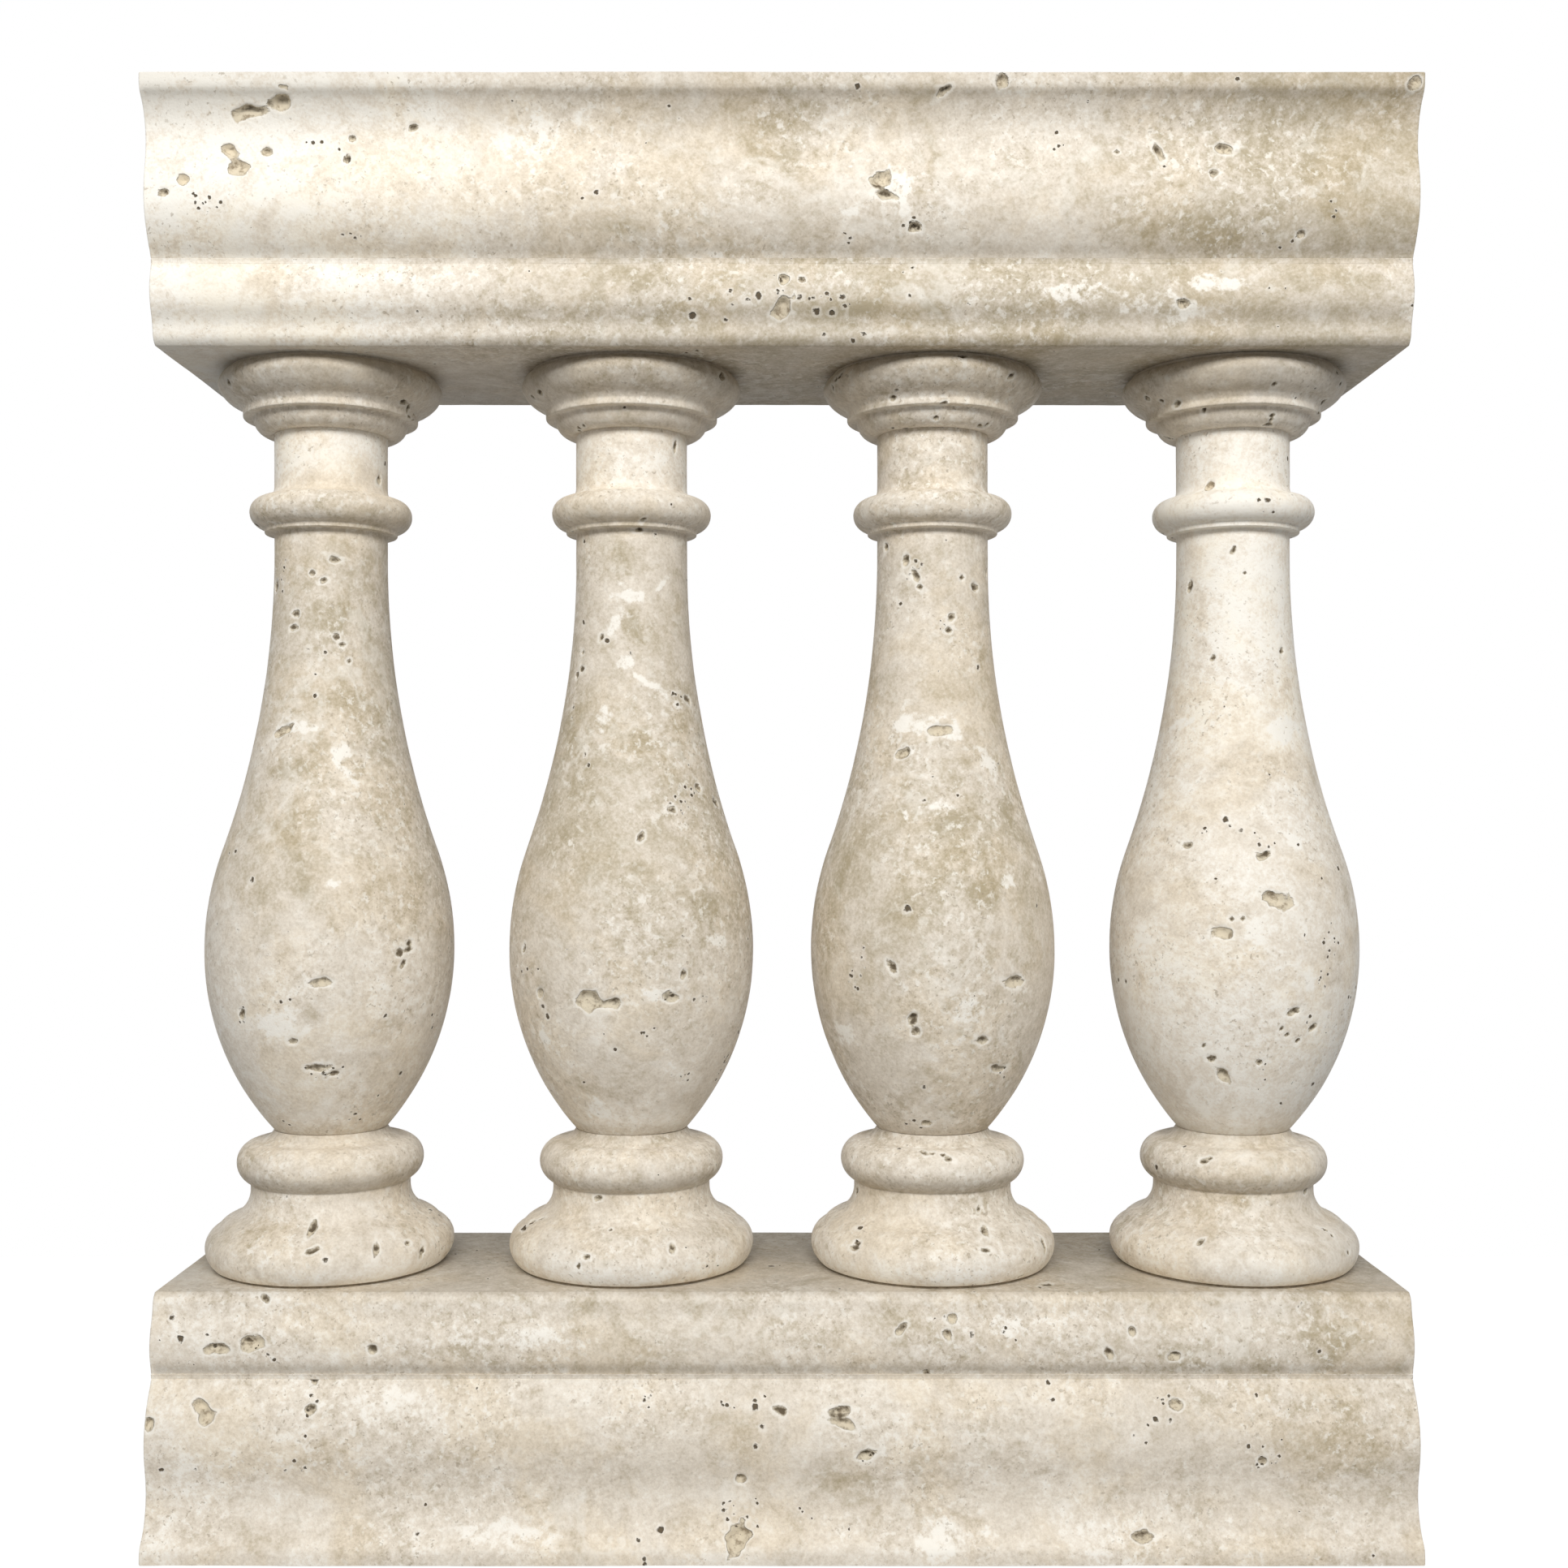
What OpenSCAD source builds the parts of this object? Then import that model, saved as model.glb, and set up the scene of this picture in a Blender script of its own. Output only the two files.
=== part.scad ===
// Stone balustrade: turned vase balusters between a moulded base and a moulded rail.
// The base is the rail upside down. X runs along the balustrade, Z is up, and the
// origin lies on the ground under the middle. Heights in a moulding are counted from
// the face that meets the balusters.

/* [Run] */
// Distance between the centres of two balusters
pitch = 243; // [230:1:320]
// Distance from the last baluster's centre to the cut end of the courses
end_margin = 109.5; // [100:0.5:160]

/* [Moulded courses] */
// Depth over the plain band beside the balusters
band_depth = 205; // [200:1:240]
// Height of the plain band
band_h = 16; // [8:0.5:30]
// Radius of the worn edge of the band
band_edge_r = 5; // [2:0.5:7]
// Height of the rounded moulding next to the band
torus_h = 44; // [30:0.5:60]
// How far the rounded moulding stands out from its own chord
torus_bulge = 6.2; // [3:0.1:12]
// Depth over the groove between the two stones of a course
groove_depth = 209; // [200:1:225]
// Depth over the widest line of the big swelling
swell_depth = 244; // [230:1:256]
// Height from the groove to the widest line
swell_h = 45.5; // [30:0.5:60]
// Depth over the hollow
hollow_depth = 233; // [226:1:242]
// Height from the widest line to the deepest line of the hollow
ogee_h = 38; // [32:0.5:60]
// Share of that height in which the swelling turns back in
swell_share = 0.485; // [0.3:0.005:0.7]
// Depth where the hollow flares out under the lip
flare_depth = 257; // [250:1:262]
// Height of the flare
flare_h = 33; // [24:0.5:50]
// Depth over the lip
lip_depth = 264; // [264:1:300]
// Height of the lip
lip_h = 13; // [8:0.5:40]

/* [Mortar] */
// Thickness of the joint inside a course
course_joint = 3.5; // [2:0.5:8]
// Thickness of the bed under and over a baluster
baluster_joint = 2; // [2:0.5:8]
// How far the mortar is raked back from the stone's edge
rake = 2; // [0.5:0.5:5]

/* [Baluster foot] */
// Diameter where the foot stands on its bed
foot_contact_d = 183; // [174:1:188]
// Widest diameter of the bottom ring
foot_ring_d = 196; // [190:1:199]
// Height of the bottom ring
foot_ring_h = 30; // [24:0.5:40]
// Diameter at the top of the bottom ring
foot_ring_top_d = 176; // [168:1:182]
// Height of the quarter round above the bottom ring
foot_bead_h = 7.5; // [5:0.5:14]
// How far the quarter round stands out from its own chord
foot_bead_bulge = 1; // [0.5:0.5:3]
// Diameter at the top of the quarter round
foot_bead_top_d = 157; // [150:1:166]
// Height of the hollow
scotia_h = 20.5; // [14:0.5:28]
// How far the hollow sinks in from its own chord
scotia_sink = 4; // [1:0.5:7]
// Diameter at the top of the hollow and of the narrow band above it
scotia_top_d = 126; // [120:0.5:134]
// Height of the narrow band
foot_band_h = 6.5; // [3:0.5:12]
// Widest diameter of the upper ring
foot_collar_d = 147.5; // [142:0.5:160]
// Height of the upper ring
foot_collar_h = 33.5; // [24:0.5:44]
// Diameter at the top edge of the upper ring
foot_collar_top_d = 110; // [104:1:124]
// Height of the small flare that meets the shaft
foot_flare_h = 8.5; // [5:0.5:16]
// How far the small flare sinks in from its own chord
foot_flare_sink = 1.4; // [0.5:0.1:3]

/* [Baluster shaft] */
// Diameter at the shaft's waist and neck
neck_d = 89.4; // [80:0.2:98]
// Widest diameter of the belly
belly_d = 196.2; // [170:0.2:199]
// Height from the waist to the widest line of the belly
belly_h = 143; // [120:1:180]
// Height from the widest line to where the neck runs straight
taper_h = 313; // [260:1:380]
// Share of that height in which the belly turns back in
belly_share = 0.26; // [0.15:0.01:0.5]
// Height of the straight neck under the neck ring
low_neck_h = 21; // [10:0.5:40]
// Height of the narrow band under the neck ring
neck_band_h = 4; // [2:0.5:8]
// Diameter of the narrow band
neck_band_d = 105; // [102:1:112]
// Height of the neck ring up to its widest line
neck_ring_h = 13; // [9:0.5:18]
// Widest diameter of the neck ring
neck_ring_d = 128; // [120:0.5:136]
// Height of the neck ring above its widest line
neck_ring_top_h = 12; // [8:0.5:18]
// Diameter at the top edge of the neck ring
neck_ring_top_d = 101; // [99:0.5:110]
// Height of the small flare from the neck ring into the neck
neck_flare_h = 8; // [4:0.5:12]
// Height of the neck above the flare
high_neck_h = 42.5; // [24:0.5:60]

/* [Baluster cap] */
// Height of the cap's lowest, rounded ring
cap_bead_h = 12.8; // [9:0.2:18]
// Diameter at the top of the lowest ring
cap_bead_d = 122; // [116:1:128]
// Diameter of the band above the lowest ring
cap_band_d = 138; // [132:1:144]
// Height of that band
cap_band_h = 5.4; // [3:0.2:10]
// Height of the sloped edge over the band
cap_slope_h = 4.3; // [3:0.1:8]
// Diameter at the groove under the cushion
cap_groove_d = 145; // [142:1:152]
// Widest diameter of the cushion
cap_cushion_d = 176.5; // [168:0.5:190]
// Diameter where the cap meets the bed under the rail
cap_contact_d = 166; // [156:1:168]
// Height of the cushion's sloping flank, up to its widest line
cap_flank_h = 14.5; // [10:0.5:20]
// How far the flank stands out from its own chord
cap_flank_bulge = 2.6; // [1:0.1:4]
// Height of the cushion above its widest line
cap_shoulder_h = 10; // [7:0.5:16]

/* [Hidden] */

baluster_count = 4;
stone = "#ded3bf";
mortar = "#b7ab97";
arc_steps = 8;
long_arc_steps = 14;
$fn = 96;

run_length = (baluster_count - 1) * pitch + 2 * end_margin;

// Heights of the stones, and of the faces between them above the ground
slab_h = band_h + torus_h;
moulding_h = swell_h + ogee_h + flare_h + lip_h;
foot_h = foot_ring_h + foot_bead_h + scotia_h + foot_band_h + foot_collar_h + foot_flare_h;
shaft_h = belly_h + taper_h + low_neck_h + neck_band_h + neck_ring_h + neck_ring_top_h
    + neck_flare_h + high_neck_h;
cap_h = cap_bead_h + cap_band_h + cap_slope_h + cap_flank_h + cap_shoulder_h;
slab_z = moulding_h + course_joint;
bed_z = slab_z + slab_h;
foot_z = bed_z + baluster_joint;
shaft_z = foot_z + foot_h;
cap_z = shaft_z + shaft_h;
top_bed_z = cap_z + cap_h;
sub_rail_z = top_bed_z + baluster_joint;
rail_joint_z = sub_rail_z + slab_h;
coping_z = rail_joint_z + course_joint;

// Each curve below leaves out its first point, on which the stretch before it ends.
// Arc from p up to q that stands out from the chord by rise, or in by it if negative
function bow(p, q, rise, steps = arc_steps) =
    let (
        d = q - p,
        chord = norm(d),
        along = d / chord,
        outward = [along.y, -along.x],
        radius = (chord * chord / 4 + rise * rise) / (2 * abs(rise)),
        half = asin(min(1, chord / (2 * radius)))
    )
    [for (i = [1:steps])
        let (t = half * (2 * i / steps - 1))
        (p + q) / 2
            + outward * sign(rise) * (abs(rise) - radius + radius * cos(t))
            + along * radius * sin(t)];

// Arc that starts upright at p, the widest or narrowest point, and ends at q above it
function upright_first(p, q, steps = arc_steps) =
    let (
        dx = p.x - q.x,
        dz = q.y - p.y,
        radius = (dz * dz + dx * dx) / (2 * dx),
        sweep = atan2(dz, abs(radius) - abs(dx))
    )
    [for (i = [1:steps])
        let (a = sweep * i / steps)
        [p.x - radius + radius * cos(a), p.y + abs(radius) * sin(a)]];

// Arc that starts at p and is upright at q, the widest or narrowest point above it
function upright_last(p, q, steps = arc_steps) =
    let (
        dx = q.x - p.x,
        dz = q.y - p.y,
        radius = (dz * dz + dx * dx) / (2 * dx),
        sweep = atan2(dz, abs(radius) - abs(dx))
    )
    [for (i = [1:steps])
        let (a = sweep * (1 - i / steps))
        [q.x - radius + radius * cos(a), q.y - abs(radius) * sin(a)]];

// S-curve from a widest to a narrowest point, upright at both: one arc bulges over
// the share of the way that is given, and the other hollows over the rest
function ogee(widest, narrowest, share, steps = arc_steps) =
    let (meet = widest + (narrowest - widest) * share)
    concat(upright_first(widest, meet, steps), upright_last(meet, narrowest, steps));

// Ring that swells from p to its widest point and back in to q
function ring(p, widest, q) = concat(upright_last(p, widest), upright_first(widest, q));

// Outline of the stone beside the balusters: worn edge, plain band and torus
function slab_outline() =
    let (
        band_x = band_depth / 2,
        groove_x = groove_depth / 2,
        edge = [for (i = [0:arc_steps])
            let (a = 90 * i / arc_steps - 90)
            [band_x - band_edge_r + band_edge_r * cos(a), band_edge_r + band_edge_r * sin(a)]]
    )
    concat(edge, [[band_x, band_h]], bow([band_x, band_h], [groove_x, slab_h], torus_bulge));

// Outline of the outer stone: swelling, ogee, flare and lip
function moulding_outline() =
    let (
        start = [groove_depth / 2, 0],
        widest = [swell_depth / 2, swell_h],
        hollow = [hollow_depth / 2, swell_h + ogee_h],
        lip_z = hollow.y + flare_h
    )
    concat(
        [start],
        upright_last(start, widest),
        ogee(widest, hollow, swell_share),
        upright_first(hollow, [flare_depth / 2, lip_z]),
        [[lip_depth / 2, lip_z], [lip_depth / 2, moulding_h]]
    );

function foot_outline() =
    let (
        contact = [foot_contact_d / 2, 0],
        ring_widest = [foot_ring_d / 2, foot_ring_h / 2],
        ring_top = [foot_ring_top_d / 2, foot_ring_h],
        bead_top = [foot_bead_top_d / 2, ring_top.y + foot_bead_h],
        scotia_top = [scotia_top_d / 2, bead_top.y + scotia_h],
        collar = [scotia_top.x, scotia_top.y + foot_band_h],
        collar_widest = [foot_collar_d / 2, collar.y + foot_collar_h / 2],
        collar_top = [foot_collar_top_d / 2, collar.y + foot_collar_h]
    )
    concat(
        [contact],
        ring(contact, ring_widest, ring_top),
        bow(ring_top, bead_top, foot_bead_bulge),
        bow(bead_top, scotia_top, -scotia_sink),
        [collar],
        ring(collar, collar_widest, collar_top),
        bow(collar_top, [neck_d / 2, foot_h], -foot_flare_sink)
    );

function shaft_outline() =
    let (
        waist = [neck_d / 2, 0],
        belly = [belly_d / 2, belly_h],
        neck = [neck_d / 2, belly_h + taper_h],
        band_x = neck_band_d / 2,
        low_band_z = neck.y + low_neck_h,
        ring_low = [band_x, low_band_z + neck_band_h],
        ring_widest = [neck_ring_d / 2, ring_low.y + neck_ring_h],
        ring_top = [neck_ring_top_d / 2, ring_widest.y + neck_ring_top_h],
        high_neck = [neck.x, ring_top.y + neck_flare_h]
    )
    concat(
        [waist],
        upright_last(waist, belly, long_arc_steps),
        ogee(belly, neck, belly_share, long_arc_steps),
        [[neck.x, low_band_z], [band_x, low_band_z], ring_low],
        ring(ring_low, ring_widest, ring_top),
        upright_last(ring_top, high_neck),
        [[neck.x, shaft_h]]
    );

function cap_outline() =
    let (
        start = [neck_d / 2, 0],
        bead = [cap_bead_d / 2, cap_bead_h],
        band_x = cap_band_d / 2,
        slope_z = bead.y + cap_band_h,
        groove = [cap_groove_d / 2, slope_z + cap_slope_h],
        shoulder = [cap_cushion_d / 2, groove.y + cap_flank_h]
    )
    concat(
        [start],
        upright_last(start, bead),
        [[band_x, bead.y], [band_x, slope_z], groove],
        bow(groove, shoulder, cap_flank_bulge),
        upright_first(shoulder, [cap_contact_d / 2, cap_h])
    );

// A whole course: the outline and its mirror image, drawn out along the run
module course(outline) {
    mirrored = [for (i = [len(outline) - 1:-1:0]) [-outline[i].x, outline[i].y]];
    translate([-run_length / 2, 0, 0])
        rotate([90, 0, 90])
            linear_extrude(run_length)
                polygon(concat(outline, mirrored));
}

// A turned stone: the outline closed on its axis and turned about it
module turned(outline) {
    last = outline[len(outline) - 1];
    rotate_extrude()
        polygon(concat([[0, 0]], outline, [[0, last.y]]));
}

// Flat strip of mortar, raked back from the groove on all four sides
module course_mortar() {
    joint_length = run_length - 2 * rake;
    joint_depth = groove_depth - 2 * rake;
    color(mortar)
        translate([-joint_length / 2, -joint_depth / 2, 0])
            cube([joint_length, joint_depth, course_joint]);
}

module plinth() {
    color(stone)
        translate([0, 0, moulding_h])
            mirror([0, 0, 1])
                course(moulding_outline());
}

module plinth_joint() {
    translate([0, 0, moulding_h])
        course_mortar();
}

module base_slab() {
    color(stone)
        translate([0, 0, bed_z])
            mirror([0, 0, 1])
                course(slab_outline());
}

module sub_rail() {
    color(stone)
        translate([0, 0, sub_rail_z])
            course(slab_outline());
}

module rail_joint() {
    translate([0, 0, rail_joint_z])
        course_mortar();
}

module coping() {
    color(stone)
        translate([0, 0, coping_z])
            course(moulding_outline());
}

// Centre of a baluster along the run, counted from the left
function baluster_x(number) = (number - (baluster_count + 1) / 2) * pitch;

module at_baluster(number, z) {
    translate([baluster_x(number), 0, z])
        children();
}

// Disc of mortar, raked back from the stone that it carries
module bed(contact_d) {
    color(mortar)
        cylinder(h = baluster_joint, d = contact_d - 2 * rake);
}

module foot() {
    color(stone)
        turned(foot_outline());
}

module shaft() {
    color(stone)
        turned(shaft_outline());
}

module cap() {
    color(stone)
        turned(cap_outline());
}

plinth();
plinth_joint();
base_slab();
for (i = [1:baluster_count]) {
    at_baluster(i, bed_z) bed(foot_contact_d);
    at_baluster(i, foot_z) foot();
    at_baluster(i, shaft_z) shaft();
    at_baluster(i, cap_z) cap();
    at_baluster(i, top_bed_z) bed(cap_contact_d);
}
sub_rail();
rail_joint();
coping();
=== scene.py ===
import bpy
import numpy as np
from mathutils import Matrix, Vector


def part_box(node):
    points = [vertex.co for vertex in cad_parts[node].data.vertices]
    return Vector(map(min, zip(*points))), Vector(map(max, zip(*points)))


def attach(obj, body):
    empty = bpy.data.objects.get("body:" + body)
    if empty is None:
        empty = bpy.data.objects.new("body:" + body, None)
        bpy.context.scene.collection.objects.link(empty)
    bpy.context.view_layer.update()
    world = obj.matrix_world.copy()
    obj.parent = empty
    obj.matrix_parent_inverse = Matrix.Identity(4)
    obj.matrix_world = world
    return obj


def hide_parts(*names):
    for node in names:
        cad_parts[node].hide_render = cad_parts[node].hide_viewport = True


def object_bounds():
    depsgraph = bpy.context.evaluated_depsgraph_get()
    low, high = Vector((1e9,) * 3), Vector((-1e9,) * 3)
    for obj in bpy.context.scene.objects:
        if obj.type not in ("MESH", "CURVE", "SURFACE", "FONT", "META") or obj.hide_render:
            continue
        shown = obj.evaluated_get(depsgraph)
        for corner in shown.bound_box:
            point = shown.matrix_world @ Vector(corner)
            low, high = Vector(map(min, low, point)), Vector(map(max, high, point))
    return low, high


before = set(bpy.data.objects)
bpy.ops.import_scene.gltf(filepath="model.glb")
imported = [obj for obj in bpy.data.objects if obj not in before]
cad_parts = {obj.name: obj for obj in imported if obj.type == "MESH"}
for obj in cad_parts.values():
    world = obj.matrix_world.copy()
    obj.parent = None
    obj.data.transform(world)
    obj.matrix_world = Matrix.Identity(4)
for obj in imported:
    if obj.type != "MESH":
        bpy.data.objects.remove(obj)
cad_low, cad_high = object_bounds()

# Plinth: the lower stone of the base, a block of pitted travertine sawn square at both
# ends and moulded along both faces with a lip, a hollow and a big swelling. It lies
# lip down on the ground, and its narrow face takes the mortar under the slab.
MM = 0.001
WALK_STEP = 0.2
ARC_STEPS, EDGE_STEPS = 24, 12
BAND_HALF_DEPTH, BAND_HEIGHT, BAND_EDGE = 102.5, 16.0, 5.0
GROOVE_HALF_DEPTH, TORUS_HEIGHT, TORUS_BULGE = 104.5, 44.0, 6.2
JOINT_HEIGHT = 3.5
SWELL_HALF_DEPTH, SWELL_HEIGHT = 122.0, 45.5
HOLLOW_HALF_DEPTH, OGEE_HEIGHT, SWELL_SHARE = 116.5, 38.0, 0.485
FLARE_HALF_DEPTH, FLARE_HEIGHT = 128.5, 33.0
COURSE_WEAR = 5.0
ARRIS_WEAR = 0.3
SAWN_END_WEAR = 1.4
FRONT_STEP, BACK_STEP, TOP_STEP, BED_STEP = 2.3, 5.5, 7.0, 26.0
CLOSE_STEP, WIDE_STEP, CLOSE_REACH = 1.9, 4.2, 12.0
END_ROWS, ARRIS_ROWS = 12, 6
FINE_PLACES = 6000
LEVEL_SLOPE = 0.05


def arc_from_upright(p, q, steps=ARC_STEPS):
    """Arc from p, where it stands upright, to q above: its centre is level with p."""
    reach, rise = p[0] - q[0], q[1] - p[1]
    radius = (rise**2 + reach**2) / (2 * reach)
    turn = np.arctan2(rise, abs(radius) - abs(reach)) * np.arange(1, steps + 1) / steps
    return np.stack([p[0] - radius + radius * np.cos(turn), p[1] + abs(radius) * np.sin(turn)], axis=1)


def arc_to_upright(p, q, steps=ARC_STEPS):
    """Arc from p to q above, where it stands upright: the other arc, seen upside down."""
    falling = arc_from_upright((q[0], -q[1]), (p[0], -p[1]), steps)
    return np.vstack([falling[-2::-1] * [1, -1], [q]])


def ogee(widest, narrowest, share, steps=ARC_STEPS):
    """S-curve, upright at both ends: it bulges over the given share of the way, then hollows."""
    meet = np.add(widest, np.subtract(narrowest, widest) * share)
    return np.vstack([arc_from_upright(widest, meet, steps), arc_to_upright(meet, narrowest, steps)])


def walked(line):
    """A broken line as points at even steps along it."""
    run = np.concatenate([[0], np.cumsum(np.hypot(*np.diff(line, axis=0).T))])
    even = np.linspace(0, run[-1], int(run[-1] / WALK_STEP) + 1)
    return np.stack([np.interp(even, run, part) for part in line.T], axis=1)


def worn(line, wear, closed):
    """Rounds the arrises of a walked line: each point becomes the mean of its neighbours,
    weighted by a bell curve as wide as the wear."""
    reach = int(4 * wear / WALK_STEP)
    bell = np.exp(-0.5 * (np.arange(-reach, reach + 1) * WALK_STEP / wear) ** 2)
    ends = {"mode": "wrap"} if closed else {"mode": "reflect", "reflect_type": "odd"}
    padded = np.pad(line, ((reach, reach), (0, 0)), **ends)
    return np.stack([np.convolve(part, bell / bell.sum(), "valid") for part in padded.T], axis=1)


def thinned(line, spacing, turn_per_row=0.2):
    """Keeps the points of a walked line that a mesh needs: one for each spacing of its
    length and one for each share of a turn, so that arrises stay crisp."""
    step = np.gradient(line, axis=0)
    heading = np.unwrap(np.arctan2(step[:, 1], step[:, 0]))
    need = np.hypot(*step.T) / spacing + np.abs(np.gradient(heading)) / turn_per_row
    total = np.cumsum(need) - need[0]
    wanted = np.linspace(0, total[-1], int(total[-1]) + 1)
    return np.stack([np.interp(wanted, total, part) for part in line.T], axis=1)


def spaced(low, high, wide, close, busy, reach):
    """Places from low to high, a wide step apart, or a close one within reach of a busy place."""
    place = np.linspace(low, high, FINE_PLACES)
    near = np.any(np.abs(place[:, None] - np.array([np.inf, *busy])) < reach, axis=1)
    count = np.cumsum(np.where(near, 1 / close, 1 / wide)) * (place[1] - place[0])
    return np.interp(np.linspace(count[0], count[-1], int(count[-1]) + 1), count, place)


def bow(p, q, rise, steps=ARC_STEPS):
    """Arc from p up to q that stands out from the chord by the rise, or in if negative."""
    p, q = np.array(p, float), np.array(q, float)
    chord = np.hypot(*(q - p))
    along = (q - p) / chord
    aside = np.array([along[1], -along[0]])
    radius = (chord**2 / 4 + rise**2) / (2 * abs(rise))
    turn = np.arcsin(min(1, chord / (2 * radius))) * np.linspace(-1, 1, steps + 1)[1:, None]
    out = np.sign(rise) * (abs(rise) - radius + radius * np.cos(turn))
    return (p + q) / 2 + aside * out + along * radius * np.sin(turn)


def course_outline(lip_half_depth, height):
    """Worn outline of a whole course, (half depth, height above the face that meets the
    balusters) in mm: rounded edge, band, torus, groove, swelling, hollow, flare and lip."""
    turn = np.linspace(-np.pi / 2, 0, EDGE_STEPS)
    edge_depth, edge_height = BAND_HALF_DEPTH + BAND_EDGE * (np.cos(turn) - 1), BAND_EDGE * (1 + np.sin(turn))
    edge = np.stack([edge_depth, edge_height], axis=1)
    band, torus = (BAND_HALF_DEPTH, BAND_HEIGHT), (GROOVE_HALF_DEPTH, BAND_HEIGHT + TORUS_HEIGHT)
    groove = (GROOVE_HALF_DEPTH, torus[1] + JOINT_HEIGHT)
    swell = (SWELL_HALF_DEPTH, groove[1] + SWELL_HEIGHT)
    hollow = (HOLLOW_HALF_DEPTH, swell[1] + OGEE_HEIGHT)
    flare = (FLARE_HALF_DEPTH, hollow[1] + FLARE_HEIGHT)
    line = np.vstack([
        edge, [band], bow(band, torus, TORUS_BULGE), [groove], arc_to_upright(groove, swell),
        ogee(swell, hollow, SWELL_SHARE), arc_from_upright(hollow, flare),
        [(lip_half_depth, flare[1]), (lip_half_depth, height)],
    ])
    return worn(walked(line), COURSE_WEAR, closed=False)


def part_of(outline, low, high):
    """The stretch of an outline between two heights, counted from the lower one."""
    kept = outline[(outline[:, 1] > low) & (outline[:, 1] < high)]
    ends = np.interp([low, high], outline[:, 1], outline[:, 0])
    return np.vstack([[(ends[0], 0)], kept - [0, low], [(ends[1], high - low)]])


def course_skin(half, box, lying, low_step, high_step, pits):
    """Skin of a moulded course in mm, rows along X and columns round the section, closer
    at the front and near the pits along it. The section is the half outline and its
    mirror image, upside down where the stone is lying so. At each sawn end it draws in
    over a quarter circle and then shrinks to a pole in the middle of the end face."""
    height = half[-1, 1]
    section = np.vstack([half * [-1, 1], half[::-1], half[:1] * [-1, 1]])
    section = section * [1, -1] + [0, height] if lying else section
    section = worn(walked(section)[:-1], ARRIS_WEAR, closed=True)
    section = np.vstack([section, section[:1]])
    step = np.gradient(section, axis=0)
    level = np.abs(step[:, 1]) < LEVEL_SLOPE * np.abs(step[:, 0])
    flat_step = np.where(section[:, 1] < height / 2, low_step, high_step)
    face_step = np.where(section[:, 0] < 0, FRONT_STEP, BACK_STEP)
    section = thinned(section, np.where(level, flat_step, face_step))[:-1]
    middle = np.array([0, height / 2])
    reach = section - middle
    draw_in = SAWN_END_WEAR / np.abs(reach).max(axis=0)
    end = (box[1].x - box[0].x) / 2 / MM
    shrink = (np.linspace(1, 0, END_ROWS)[1:-1] ** 1.5)[:, None, None]
    quarter = np.linspace(np.pi / 2, 0, ARRIS_ROWS)[:-1, None, None]
    face_end, pitted = end - SAWN_END_WEAR, [pit[0][0] for pit in pits]
    straight = spaced(-face_end, face_end, WIDE_STEP, CLOSE_STEP, pitted, CLOSE_REACH)[:, None, None]
    end_face = middle + reach * (1 - draw_in) * (1 - shrink)
    arris = middle + reach * (1 - draw_in * (1 - np.cos(quarter)))
    sections = np.concatenate([end_face, arris, np.tile(section, (len(straight), 1, 1))])
    sections = np.concatenate([sections, arris[::-1], end_face[::-1]])
    near_x = np.concatenate([np.full_like(shrink, -end), -end + SAWN_END_WEAR * (1 - np.sin(quarter))])
    along = np.concatenate([near_x, straight, -near_x[::-1]])
    skin = np.concatenate([np.broadcast_to(along, (*sections.shape[:2], 1)), sections], axis=2)
    poles = np.array([[-end, *middle], [end, *middle]])
    return skin + [0, 0, box[0].z / MM], poles + [0, 0, box[0].z / MM]


LATTICE = 32


def drift(points, size, seed):
    """Smooth random field from -1 to 1: random values on a cubic lattice of the given
    size, blended at each point between the eight corners round it."""
    lattice = np.random.default_rng(seed).uniform(-1, 1, (LATTICE,) * 3)
    cell = points / size
    low = np.floor(cell).astype(int)
    share = (cell - low) ** 2 * (3 - 2 * (cell - low))
    field = np.zeros(points.shape[:-1])
    for corner in np.ndindex(2, 2, 2):
        i, j, k = np.moveaxis((low + corner) % LATTICE, -1, 0)
        field += np.prod(np.where(corner, share, 1 - share), axis=-1) * lattice[i, j, k]
    return field


def drifts(points, waves, seed):
    """Sum of drifts, each given by its swing and its size, from seeds that follow on."""
    return sum(swing * drift(points, size, seed + n) for n, (swing, size) in enumerate(waves))


def outward(skin, middle):
    """Unit normals of a skin that closes round its columns, pointing away from its middle."""
    down = np.gradient(skin, axis=0)
    across = np.roll(skin, -1, axis=1) - np.roll(skin, 1, axis=1)
    normal = np.cross(down, across)
    normal /= np.linalg.norm(normal, axis=-1, keepdims=True) + 1e-9
    return normal * np.sign(np.sum(normal * (skin - middle)))


def smooth(value):
    """Eases from 0 to 1 with level ends, as 3t^2 - 2t^3."""
    t = np.clip(value, 0, 1)
    return t * t * (3 - 2 * t)


NEARLY_UP = 0.02, 0.03, 1.0
FAR_OUTSIDE, TURNED_AWAY = -9.0, 0.1


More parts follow.
